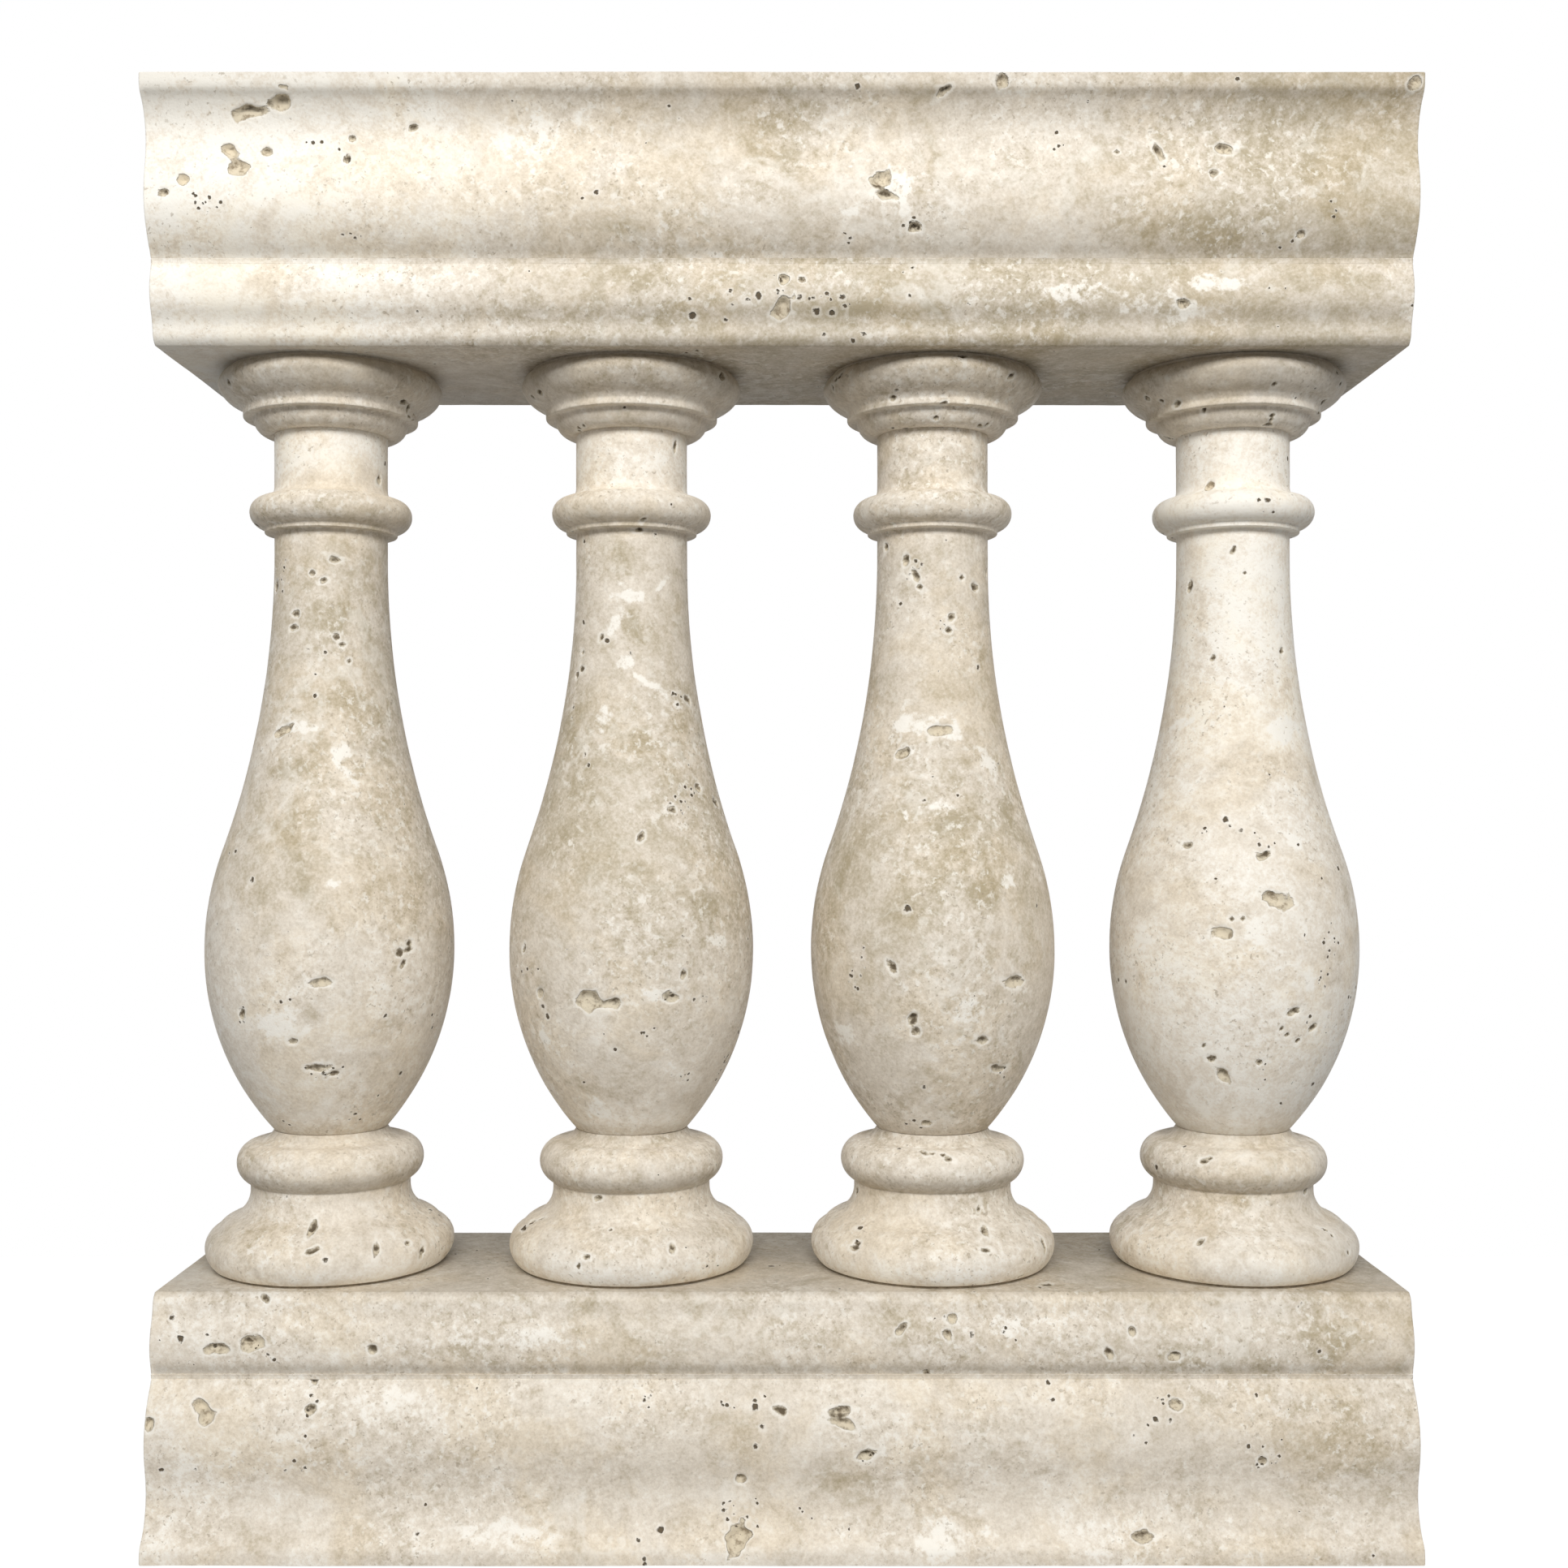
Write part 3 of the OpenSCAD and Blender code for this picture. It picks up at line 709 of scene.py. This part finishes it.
def foot_outline(height):
    """Outline of a foot: (radius, height) in mm from its seat up to the shaft."""
    contact, ring_top = (FOOT_CONTACT, 0), (FOOT_RING_TOP, FOOT_RING_HEIGHT)
    bead_top = (FOOT_BEAD_TOP, FOOT_RING_HEIGHT + FOOT_BEAD_HEIGHT)
    scotia_top = (SCOTIA_TOP, bead_top[1] + SCOTIA_HEIGHT)
    collar = (SCOTIA_TOP, scotia_top[1] + FOOT_BAND_HEIGHT)
    collar_top = (COLLAR_TOP, collar[1] + COLLAR_HEIGHT)
    return np.vstack([
        [contact], ring(contact, (FOOT_RING, FOOT_RING_HEIGHT / 2), ring_top),
        bow(ring_top, bead_top, FOOT_BEAD_BULGE), bow(bead_top, scotia_top, -SCOTIA_SINK), [collar],
        ring(collar, (COLLAR, collar[1] + COLLAR_HEIGHT / 2), collar_top),
        bow(collar_top, (NECK, height), -FOOT_FLARE_SINK),
    ])


def turned_skin(outline, box, step):
    """Skin of a turned stone in mm, rows up the outline and columns round the axis, three
    times as close at the front. The outline is worn at its arrises and closed at both ends
    on the axis, where the poles are."""
    line = worn(walked(outline), TURNED_WEAR, closed=False)
    line = np.vstack([[(0, 0)], line, [(0, outline[-1, 1])]])
    line = worn(walked(line), ARRIS_WEAR, closed=False)
    way = np.gradient(line, axis=0)
    at_end = (line[:, 1] < 1) | (line[:, 1] > outline[-1, 1] - 1)
    hidden = (np.abs(way[:, 1]) < BED_SLOPE * np.abs(way[:, 0])) & at_end
    radius, height = thinned(line, np.where(hidden, BED_STEP, step))[1:-1].T[:, :, None]
    close = step / np.max(outline[:, 0])
    bearing = spaced(-np.pi, np.pi, 3 * close, close, [0], TURNED_FRONT)[:-1]
    axis, seat = (box[0].x + box[1].x) / 2 / MM, box[0].z / MM
    x, y = axis + radius * np.sin(bearing), -radius * np.cos(bearing)
    skin = np.stack(np.broadcast_arrays(x, y, seat + height), axis=-1)
    return skin, np.array([[axis, 0, seat], [axis, 0, seat + outline[-1, 1]]])


def on_round(outline, box, **marks):
    """Marks on a turned stone, each given by its bearing from the front, its height and its shape."""
    axis, seat = (box[0].x + box[1].x) / 2 / MM, box[0].z / MM
    placed = {kind: [] for kind in marks}
    for kind, kept in marks.items():
        for bearing, z, *shape in kept:
            radius, turn = np.interp(z - seat, outline[:, 1], outline[:, 0]), np.radians(bearing)
            place = (axis + radius * np.sin(turn), -radius * np.cos(turn), z)
            placed[kind].append((place, *shape))
    return placed


def turned_stone(node, outline_of, step, **marks):
    """Skin and placed marks of a turned stone, the height of each point over its seat, and
    its whole height, all in mm."""
    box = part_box(node)
    outline = outline_of((box[1].z - box[0].z) / MM)
    skin = turned_skin(outline, box, step)
    return skin, on_round(outline, box, **marks), skin[0][..., 2] - box[0].z / MM, outline[-1, 1]


foot_pits = {
    1: [(2, 234, 8, 3.2, 80), (5, 222, 4, 2.4, 30), (34, 221, 9, 3.0, 75), (59, 211, 7, 3.0, 60),
        (51, 221, 3, 2.2)],
    2: [(-20, 255, 4, 2.6, 10), (25, 223, 5, 2.4, 70)],
    3: [(27, 233, 8, 3.2, 70), (22, 222, 4, 2.4), (60, 217, 8, 2.8, 75)],
    4: [(48, 258, 4, 2.6, 30), (-30, 226, 4, 2.4, 60)],
}
for number in BALUSTERS:
    node = f"baluster_{number}_foot"
    skin, marks, height, top = turned_stone(node, foot_outline, FOOT_STEP, pits=foot_pits[number])
    stone = travertine(f"travertine_foot_{number}", (0.3, 0.4, 0.9 * number), (0.31 * number, 0.5, 0.2))
    # Painted shade on the foot's faces that look down, above its bottom ring, and on its flare under the
    # shaft; painted light on its bottom ring, strongest at the seat.
    painted_shade = underside_shade(skin[0], FOOT_UNDERSIDE_SHADE) * (height > FOOT_RING_HEIGHT)
    painted_shade += FLARE_SHADE * smooth((height - top + FLARE_REACH) / FLARE_REACH)
    paleness_and_painted_light = RING_PAINTED_LIGHT * smooth(1 - height / FOOT_RING_HEIGHT)
    set_stone(node, skin, marks, stone, painted_shade, paleness_and_painted_light, strewn=5, seed=30 + number)

# Shafts: the vase of each baluster with its belly, long neck and neck ring, turned in one
# stone and pinned on the foot.
BELLY, BELLY_HEIGHT, TAPER_HEIGHT, BELLY_SHARE = 98.1, 143.0, 313.0, 0.26
LOW_NECK_HEIGHT = 21.0
NECK_BAND, NECK_BAND_HEIGHT = 52.5, 4.0
NECK_RING, NECK_RING_HEIGHT = 64.0, 13.0
NECK_RING_TOP, NECK_RING_TOP_HEIGHT, NECK_FLARE_HEIGHT = 50.5, 12.0, 8.0
SHAFT_STEP, BELLY_ARC_STEPS = 2.7, 48
WAIST_SHADE, WAIST_REACH = 0.5, 14.0
PALENESS_HEIGHTS = 300, 400, 500, 600, 700, 780, 830
SHAFT_PALENESS_AND_LIGHT = {
    1: (0.09, 0.1, -0.09, -0.06, -0.14, -0.12, 0.17),
    2: (0.08, 0.03, -0.16, -0.18, -0.08, -0.06, 0.16),
    3: (-0.02, -0.05, -0.16, -0.1, -0.05, -0.05, -0.06),
    4: (0.2, 0.2, 0.08, 0.15, 0.26, 0.24, 0.25),
}


def shaft_outline(height):
    """Outline of a shaft: (radius, height) in mm from the waist up to the cap."""
    waist, belly, neck = (NECK, 0), (BELLY, BELLY_HEIGHT), (NECK, BELLY_HEIGHT + TAPER_HEIGHT)
    band_low = neck[1] + LOW_NECK_HEIGHT
    ring_low = (NECK_BAND, band_low + NECK_BAND_HEIGHT)
    ring_wide = (NECK_RING, ring_low[1] + NECK_RING_HEIGHT)
    ring_top = (NECK_RING_TOP, ring_wide[1] + NECK_RING_TOP_HEIGHT)
    return np.vstack([
        [waist], arc_to_upright(waist, belly, BELLY_ARC_STEPS),
        ogee(belly, neck, BELLY_SHARE, BELLY_ARC_STEPS),
        [(NECK, band_low), (NECK_BAND, band_low), ring_low], ring(ring_low, ring_wide, ring_top),
        arc_to_upright(ring_top, (NECK, ring_top[1] + NECK_FLARE_HEIGHT)), [(NECK, height)],
    ])


shaft_pits = {
    1: [(-57, 734, 5, 3, 70), (6, 738, 4, 2.8, 30), (-5, 743, 3, 2.4), (-23, 710, 3, 2.2),
        (-25, 701, 3.4, 2.6), (-24, 618, 8, 4.5, 20), (10, 427, 8, 4, 5), (-4, 380, 5, 3, 5),
        (-32, 400, 5, 2.6, 75), (7, 359, 9, 3), (16, 354, 5, 2.6, 15), (18, 754, 6, 3.5),
        (71, 821, 4, 3, 60)],
    2: [(56, 845, 6, 2.2, 80), (15, 783, 4, 2.4, 60), (12, 776, 3, 2), (60, 644, 5, 2.4, -40),
        (74, 561, 4, 2.6, -40), (10, 538, 5, 2.6, 60), (30, 558, 3, 2.4), (-26, 692, 4, 2.2, 60),
        (-16, 414, 12, 7.5, 5), (-4, 411, 6, 3.5, 10), (-42, 415, 4, 4), (24, 412, 7, 3.8, 5),
        (29, 432, 4.5, 3, 85), (54, 574, 4, 3, -40), (74, 359, 4, 3, 80), (-54, 448, 4, 3, 60)],
    3: [(-60, 767, 3.5, 2.6, -50), (-17, 731, 3, 2.4), (27, 740, 3.5, 2.4, 20), (44, 732, 4, 2.8),
        (71, 748, 5, 3, 60), (14, 707, 4, 2.2, 60), (11, 698, 3, 2.6), (2, 618, 9, 5, 10),
        (-27, 601, 6, 4.2, 35), (-15, 399, 5, 3, 60), (-13, 389, 3.5, 3), (-22, 435, 4.5, 2.8, -55),
        (34, 425, 8, 4), (20, 380, 5, 3), (35, 358, 9, 3, -5), (-9, 312, 4.5, 3.5), (-33, 754, 6, 3, 70),
        (-20, 740, 5, 3, -60)],
    4: [(-12, 761, 3, 1.7, 60), (-1, 743, 2, 1.7), (-31, 677, 2.2, 2), (36, 682, 2.4, 2),
        (-62, 734, 4, 2.2, 70), (6, 490, 10, 5, -25), (-19, 464, 9, 5), (-19, 353, 8, 4, -50),
        (0, 364, 3.5, 3.5), (2, 521, 6.5, 3, 20), (-38, 529, 4.5, 2.8, 20), (15, 404, 6.5, 2.6, 25),
        (27, 391, 5, 2.6, 40), (-37, 813, 4.5, 4.5)],
}
shaft_chalk = {
    1: [(-14, 622, 19, 7), (23, 584, 23, 4, -50), (20, 600, 11, 8), (14, 503, 7, 4), (-12, 392, 24, 15),
        (6, 361, 14, 8)],
    2: [(6, 724, 15, 7, 5), (36, 736, 12, 3, 55), (-15, 701, 18, 6, 70), (-5, 670, 8, 6),
        (-17, 628, 14, 12), (26, 653, 23, 3, -30), (48, 640, 8, 8), (46, 456, 15, 9), (18, 416, 17, 7, 5),
        (-17, 325, 12, 12), (-48, 379, 12, 11)],
    3: [(-20, 623, 33, 13), (6, 616, 18, 8, -10), (39, 590, 18, 6, -55), (-21, 602, 8, 6),
        (0, 559, 14, 5, 5), (37, 499, 11, 6), (11, 404, 18, 15), (-56, 381, 14, 12)],
    4: [(6, 732, 28, 46), (24, 619, 15, 11), (-52, 626, 12, 6), (20, 532, 12, 12), (-3, 470, 18, 9, 25),
        (22, 422, 15, 4, -60), (38, 397, 15, 7, -25), (-58, 455, 12, 15)],
}
shaft_stains = {
    1: [(-4, 538, 48, 33), (-21, 491, 36, 27), (-16, 587, 30, 9, 10), (14, 645, 31, 12, 5),
        (14, 704, 28, 25), (4, 401, 12, 9), (44, 400, 18, 28)],
    2: [(0, 751, 19, 22), (6, 704, 15, 18), (13, 614, 27, 17, -15), (-43, 630, 9, 15), (-21, 568, 24, 9),
        (10, 512, 18, 12), (16, 464, 49, 7, -36), (40, 484, 27, 15), (-47, 434, 12, 12), (-6, 398, 12, 7),
        (-4, 341, 39, 18)],
    3: [(18, 596, 27, 5, 8), (10, 544, 51, 27, -10), (48, 547, 18, 27), (20, 494, 30, 18), (-19, 505, 7, 6),
        (47, 677, 8, 19), (-37, 429, 15, 12), (35, 445, 12, 12), (-56, 507, 9, 22)],
    4: [(-48, 710, 8, 56), (12, 590, 36, 18, -10), (36, 651, 12, 15), (55, 581, 12, 18), (40, 434, 18, 21),
        (52, 493, 12, 24)],
}
shaft_porous = {
    1: [(-10, 416, 15, 4, 5), (-32, 398, 10, 4, 75), (8, 357, 14, 9), (36, 322, 11, 4, 60),
        (-29, 311, 10, 5), (-38, 740, 10, 4, 80), (-4, 739, 8, 5, -30)],
    2: [(-52, 431, 13, 9), (31, 414, 20, 5), (13, 389, 7, 4, 40), (34, 351, 13, 8), (72, 352, 13, 5, 70),
        (40, 565, 14, 10, 60), (48, 648, 10, 6, 80)],
    3: [(-41, 431, 21, 7, 85), (-17, 394, 17, 6, 45), (10, 415, 17, 4, 5), (41, 353, 9, 11),
        (-9, 345, 7, 5), (-20, 312, 14, 6), (-21, 747, 14, 9, -60), (7, 701, 9, 5, -70)],
    4: [(-31, 537, 12, 4, 55), (3, 531, 9, 7, 30), (22, 534, 16, 4, 80), (16, 465, 9, 4, -50),
        (33, 450, 14, 6, 80), (21, 395, 12, 6, 40), (1, 353, 16, 4, 85), (50, 408, 10, 4, 80)],
}
for number in BALUSTERS:
    node = f"baluster_{number}_shaft"
    kinds = {"pits": shaft_pits, "chalk": shaft_chalk, "stain": shaft_stains, "porous": shaft_porous}
    kept = {kind: lists[number] for kind, lists in kinds.items()}
    skin, marks, height = turned_stone(node, shaft_outline, SHAFT_STEP, **kept)[:3]
    turn, shift = (0.6, 0.3 * number, 1.1 * number), (0.47 * number, 0.2, 0.35 * number)
    stone = travertine(f"travertine_shaft_{number}", turn, shift)
    # Paleness up each shaft: the stone's own tone, with painted light on the upper neck of the first, second
    # and fourth; painted shade at the waist, where the shaft sits on the foot.
    paleness_and_painted_light = np.interp(skin[0][..., 2], PALENESS_HEIGHTS, SHAFT_PALENESS_AND_LIGHT[number])
    painted_shade = WAIST_SHADE * smooth(1 - height / WAIST_REACH)
    set_stone(node, skin, marks, stone, painted_shade, paleness_and_painted_light, strewn=6, seed=40 + number)

# Caps: the top stones of the balusters, turned with a rounded ring, a band and a cushion
# that spreads under the rail.
CAP_BEAD, CAP_BEAD_HEIGHT = 61.0, 12.8
CAP_BAND, CAP_BAND_HEIGHT, CAP_SLOPE_HEIGHT = 69.0, 5.4, 4.3
CAP_GROOVE, CUSHION, CUSHION_CONTACT = 72.5, 88.25, 83.0
FLANK_HEIGHT, FLANK_BULGE = 14.5, 2.6
CAP_STEP = 2.9
CAP_SHADE, CUSHION_SHADE, CAP_SHADE_SLOPE, CAP_SHADE_START = 0.08, 0.6, 1.6, 0.5


def cap_outline(height):
    """Outline of a cap: (radius, height) in mm from the neck up to the bed under the rail."""
    start, bead = (NECK, 0), (CAP_BEAD, CAP_BEAD_HEIGHT)
    slope = bead[1] + CAP_BAND_HEIGHT
    groove = (CAP_GROOVE, slope + CAP_SLOPE_HEIGHT)
    shoulder = (CUSHION, groove[1] + FLANK_HEIGHT)
    return np.vstack([
        [start], arc_to_upright(start, bead), [(CAP_BAND, bead[1]), (CAP_BAND, slope), groove],
        bow(groove, shoulder, FLANK_BULGE), arc_from_upright(shoulder, (CUSHION_CONTACT, height)),
    ])


cap_pits = {1: [], 2: [(58, 896, 4, 3.5, 30)], 3: [(40, 892, 4, 2.6, 40)], 4: []}
for number in BALUSTERS:
    node = f"baluster_{number}_cap"
    skin, marks, height, top = turned_stone(node, cap_outline, CAP_STEP, pits=cap_pits[number])
    stone = travertine(f"travertine_cap_{number}", (0.8, 0.2, 1.3 * number), (0.23 * number, 0.9, 0.6))
    # Painted shade over the whole cap, deepest on its cushion under the rail.
    painted_shade = CAP_SHADE + CUSHION_SHADE * smooth(CAP_SHADE_SLOPE * (height / top) - CAP_SHADE_START)
    set_stone(node, skin, marks, stone, painted_shade, paleness_and_painted_light=0.0, strewn=6, seed=50 + number)

# Sub-rail: the lower stone of the rail, the slab turned over. Its flat soffit lies in mortar
# on the four caps.
sub_rail_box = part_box("sub_rail")
sub_rail_marks = on_front(
    pits=[(2, 957, 4.2, 4.2), (14, 958, 3, 2.8), (-1, 924, 11, 7, 75), (300, 929, 5, 3.5, 10)],
    chalk=[(285, 931, 61, 13, -10), (224, 943, 30, 11), (327, 952, 37, 9), (-295, 958, 73, 10)],
    stain=[(-106, 961, 55, 16), (-374, 952, 49, 18), (419, 958, 55, 15), (-210, 918, 37, 9),
        (59, 924, 49, 12)],
    porous=[(-5, 955, 9, 10), (33, 948, 9, 6)],
)
RAIL_GROOVE_REACH, RAIL_GROOVE_SHADE = 5.5, 0.38
SOFFIT_SHADE = 0.34
BAND_SHADE_RISE, BAND_SHADE_REACH, BAND_SHADE = 8.0, 4.0, 0.12


def rail_groove_shade(skin):
    """Painted shade in the groove between sub-rail and coping, most of it low on the coping."""
    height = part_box("coping")[0].z / MM + GROOVE_RISE
    return crease_shade(skin, height, RAIL_GROOVE_REACH, RAIL_GROOVE_SHADE)


sub_rail_skin = course_skin(slab, sub_rail_box, False, TOP_STEP, BED_STEP, sub_rail_marks["pits"])
sub_rail_stone = travertine("travertine_sub_rail", (0.9, 0.4, 0.1), (0.6, 0.3, 0.8))
SUB_RAIL_PLACES = -350, -270, -180, 0, 200, 400
SUB_RAIL_PALENESS = 0.26, 0.04, -0.1, -0.18, -0.2, -0.14
# Painted shade over the band, on the faces that look down and in the groove under the coping.
band_top = sub_rail_box[0].z / MM + BAND_HEIGHT + BAND_SHADE_RISE
band_shade = crease_shade(sub_rail_skin[0], band_top, BAND_SHADE_REACH, BAND_SHADE)
sub_rail_shade = band_shade + underside_shade(sub_rail_skin[0], SOFFIT_SHADE) + rail_groove_shade(sub_rail_skin[0])
sub_rail_paleness = np.interp(sub_rail_skin[0][..., 0], SUB_RAIL_PLACES, SUB_RAIL_PALENESS)
set_stone(
    "sub_rail", sub_rail_skin, sub_rail_marks, sub_rail_stone, sub_rail_shade, sub_rail_paleness,
    strewn=6, seed=61,
)

# Joint of the rail: a strip of the same lime mortar between sub-rail and coping, rubbed
# flush like that of the base and as pale as the sub-rail.
rub_joint("rail_joint", sub_rail_box, sub_rail_stone, rail_groove_shade, SUB_RAIL_PLACES, SUB_RAIL_PALENESS)

# Coping: the upper stone of the rail, the plinth turned over, bedded on the sub-rail. Its
# flat top is the hand rest.
coping_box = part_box("coping")
coping_marks = on_front(
    pits=[(-396, 1071, 13, 4.5, 5), (-371, 1075, 8, 6, 30), (-410, 1048, 8, 5, -25), (-402, 1036, 6, 6),
        (-383, 1048, 4.5, 4), (-445, 1025, 5.5, 5), (-459, 1014, 5, 3.5, 20), (-319, 1055, 4, 3.2, 40),
        (-324, 1043, 5, 3, 75), (-274, 1061, 4.5, 3, 25), (73, 1026, 7, 5, 20), (78, 1013, 8, 3.5, -10),
        (162, 1094, 5, 4.5, 45), (119, 1086, 7, 3, 45), (280, 1048, 7, 3.2, -55), (328, 1049, 6, 4),
        (321, 1033, 3.2, 2.8), (467, 1094, 5, 4.5, 45), (388, 978, 4, 3.5), (98, 985, 5, 3, 25)],
    chalk=[(-382, 1044, 103, 48), (88, 1023, 18, 24), (-195, 1050, 36, 30)],
    stain=[(-2, 1056, 42, 27), (414, 1032, 72, 36, 5), (-114, 984, 27, 12), (221, 1032, 60, 36),
        (106, 1086, 24, 12), (305, 984, 54, 18)],
    porous=[(-340, 1051, 19, 5, -18), (-322, 1044, 13, 4, 75), (-398, 973, 10, 4, 60),
        (-326, 976, 10, 4, 10), (278, 1051, 24, 5, -55), (204, 1054, 11, 12), (388, 978, 14, 6, 50),
        (318, 1036, 7, 4), (43, 976, 11, 4, -20), (96, 983, 12, 5, 15), (-430, 1008, 10, 5)],
)
coping_skin = course_skin(moulding, coping_box, False, BED_STEP, TOP_STEP, coping_marks["pits"])
coping_stone = travertine("travertine_coping", (0.1, 0.7, 0.5), (0.3, 0.6, 0.1))
LIP_SHADE, LIP_RISE, LIP_CREASE = 0.3, 4.0, 3.0
SWELL_SHADE, SWELL_FADE = 0.26, 14.0
COPING_PLACES = -420, -270, -190, -40, 200, 280, 350
COPING_PALENESS = 0.26, 0.16, 0.0, -0.08, 0.02, -0.08, -0.22
# Painted shade on the lip and in the crease at its foot, on the swelling's faces that look down, and in the
# groove over the sub-rail.
lip_low = coping_box[0].z / MM + SWELL_HEIGHT + OGEE_HEIGHT + FLARE_HEIGHT
on_lip = np.abs(coping_skin[0][..., 1]) > HOLLOW_HALF_DEPTH
lip_shade = LIP_SHADE * smooth((coping_skin[0][..., 2] - lip_low) / LIP_RISE) * on_lip
fade = smooth((coping_skin[0][..., 2] - coping_box[0].z / MM) / SWELL_FADE)
coping_shade = np.maximum(lip_shade, underside_shade(coping_skin[0], SWELL_SHADE) * fade)
coping_shade += crease_shade(coping_skin[0], lip_low, LIP_CREASE, LIP_SHADE)
coping_shade += rail_groove_shade(coping_skin[0])
coping_paleness = np.interp(coping_skin[0][..., 0], COPING_PLACES, COPING_PALENESS)
set_stone(
    "coping", coping_skin, coping_marks, coping_stone, coping_shade, coping_paleness,
    strewn=7, seed=71,
)

# Floor: plain pale studio floor, white to the camera, which keeps a soft shadow of the
# balustrade. The world behind it is white to the camera too.
FLOOR_REACH_X, FLOOR_FRONT, FLOOR_BACK = 1.7, -1.3, 0.8
FLOOR_PALE = tone(172, 173, 175)
FLOOR_SHADE = 0.16, 0.16, 0.16, 1.0
FLOOR_GLOW, WORLD_LIGHT = 0.95, 0.13


def seen_directly(tree):
    """1 for rays that show the background: from the camera, and by gloss or glass."""
    path = put(tree, "ShaderNodeLightPath").outputs
    shown = sums(tree, "MAXIMUM", path["Is Camera Ray"], path["Is Glossy Ray"])
    return sums(tree, "MAXIMUM", shown, path["Is Transmission Ray"])


floor_mesh = bpy.data.meshes.new("floor")
floor_corners = [
    (-FLOOR_REACH_X, FLOOR_FRONT, 0), (FLOOR_REACH_X, FLOOR_FRONT, 0),
    (FLOOR_REACH_X, FLOOR_BACK, 0), (-FLOOR_REACH_X, FLOOR_BACK, 0),
]
floor_mesh.from_pydata(floor_corners, [], [(0, 1, 2, 3)])
floor = stand("floor", floor_mesh)
floor_paint = bpy.data.materials.new("floor_paint")
floor_paint.use_nodes = True
tree = floor_paint.node_tree
tree.nodes.remove(tree.nodes["Principled BSDF"])
matt = put(tree, "ShaderNodeBsdfDiffuse", {"Color": FLOOR_PALE}).outputs[0]
glow = put(tree, "ShaderNodeEmission", {"Strength": FLOOR_GLOW}).outputs[0]
shade = put(tree, "ShaderNodeBsdfDiffuse", {"Color": FLOOR_SHADE}).outputs[0]
white = put(tree, "ShaderNodeAddShader", {0: glow, 1: shade}).outputs[0]
shown = put(tree, "ShaderNodeMixShader", {0: seen_directly(tree), 1: matt, 2: white}).outputs[0]
tree.links.new(shown, tree.nodes["Material Output"].inputs["Surface"])
floor_mesh.materials.append(floor_paint)

world = bpy.data.worlds.new("studio")
bpy.context.scene.world = world
world.use_nodes = True
tree = world.node_tree
strength = eased(tree, seen_directly(tree), 0.0, 1.0, WORLD_LIGHT, 1.0)
background = tree.nodes["Background"]
background.inputs["Color"].default_value = (1, 1, 1, 1)
tree.links.new(strength, background.inputs["Strength"])

# Light: a long soft lamp before the balustrade and above it, and a weaker upright one on
# each side, all of them oblong studio lamps turned to its middle.
LONG_LAMP_SIZE, LONG_LAMP_WATTS = (2.6, 0.9), 85.0
SIDE_LAMP_SIZE, SIDE_LAMP_WATTS = (1.0, 1.4), 6.0


def soft_lamp(name, place, size, watts):
    """Oblong lamp that faces the middle of the balustrade."""
    lamp = bpy.data.lights.new(name, "AREA")
    lamp.shape = "RECTANGLE"
    lamp.size, lamp.size_y = size
    lamp.energy = watts
    made = stand(name, lamp)
    made.location = place
    aim = (cad_low + cad_high) / 2 - made.location
    made.rotation_euler = aim.to_track_quat("-Z", "Y").to_euler()


soft_lamp("long_lamp", (0.0, -2.6, 2.25), LONG_LAMP_SIZE, LONG_LAMP_WATTS)
soft_lamp("left_lamp", (-2.3, -1.5, 1.5), SIDE_LAMP_SIZE, SIDE_LAMP_WATTS)
soft_lamp("right_lamp", (2.3, -1.5, 1.5), SIDE_LAMP_SIZE, SIDE_LAMP_WATTS)

# Camera: level, square on to the balustrade, as far off as the photograph's vanishing
# point and the depth of its mouldings say.
IMAGE_WIDTH = 1932
FOCAL_PIXELS = 2220.0
VANISHING_X, VANISHING_Y = 963.5, 1009.0
CAMERA_PLACE = 0, -1.458, 0.55
camera = bpy.data.cameras.new("camera")
camera.sensor_width = 36.0
camera.lens = camera.sensor_width * FOCAL_PIXELS / IMAGE_WIDTH
camera.shift_x = 0.5 - VANISHING_X / IMAGE_WIDTH
camera.shift_y = VANISHING_Y / IMAGE_WIDTH - 0.5
camera_stand = stand("camera", camera)
camera_stand.location = CAMERA_PLACE
camera_stand.rotation_euler = (np.pi / 2, 0, 0)
bpy.context.scene.camera = camera_stand
bpy.context.scene.view_settings.view_transform = "Standard"
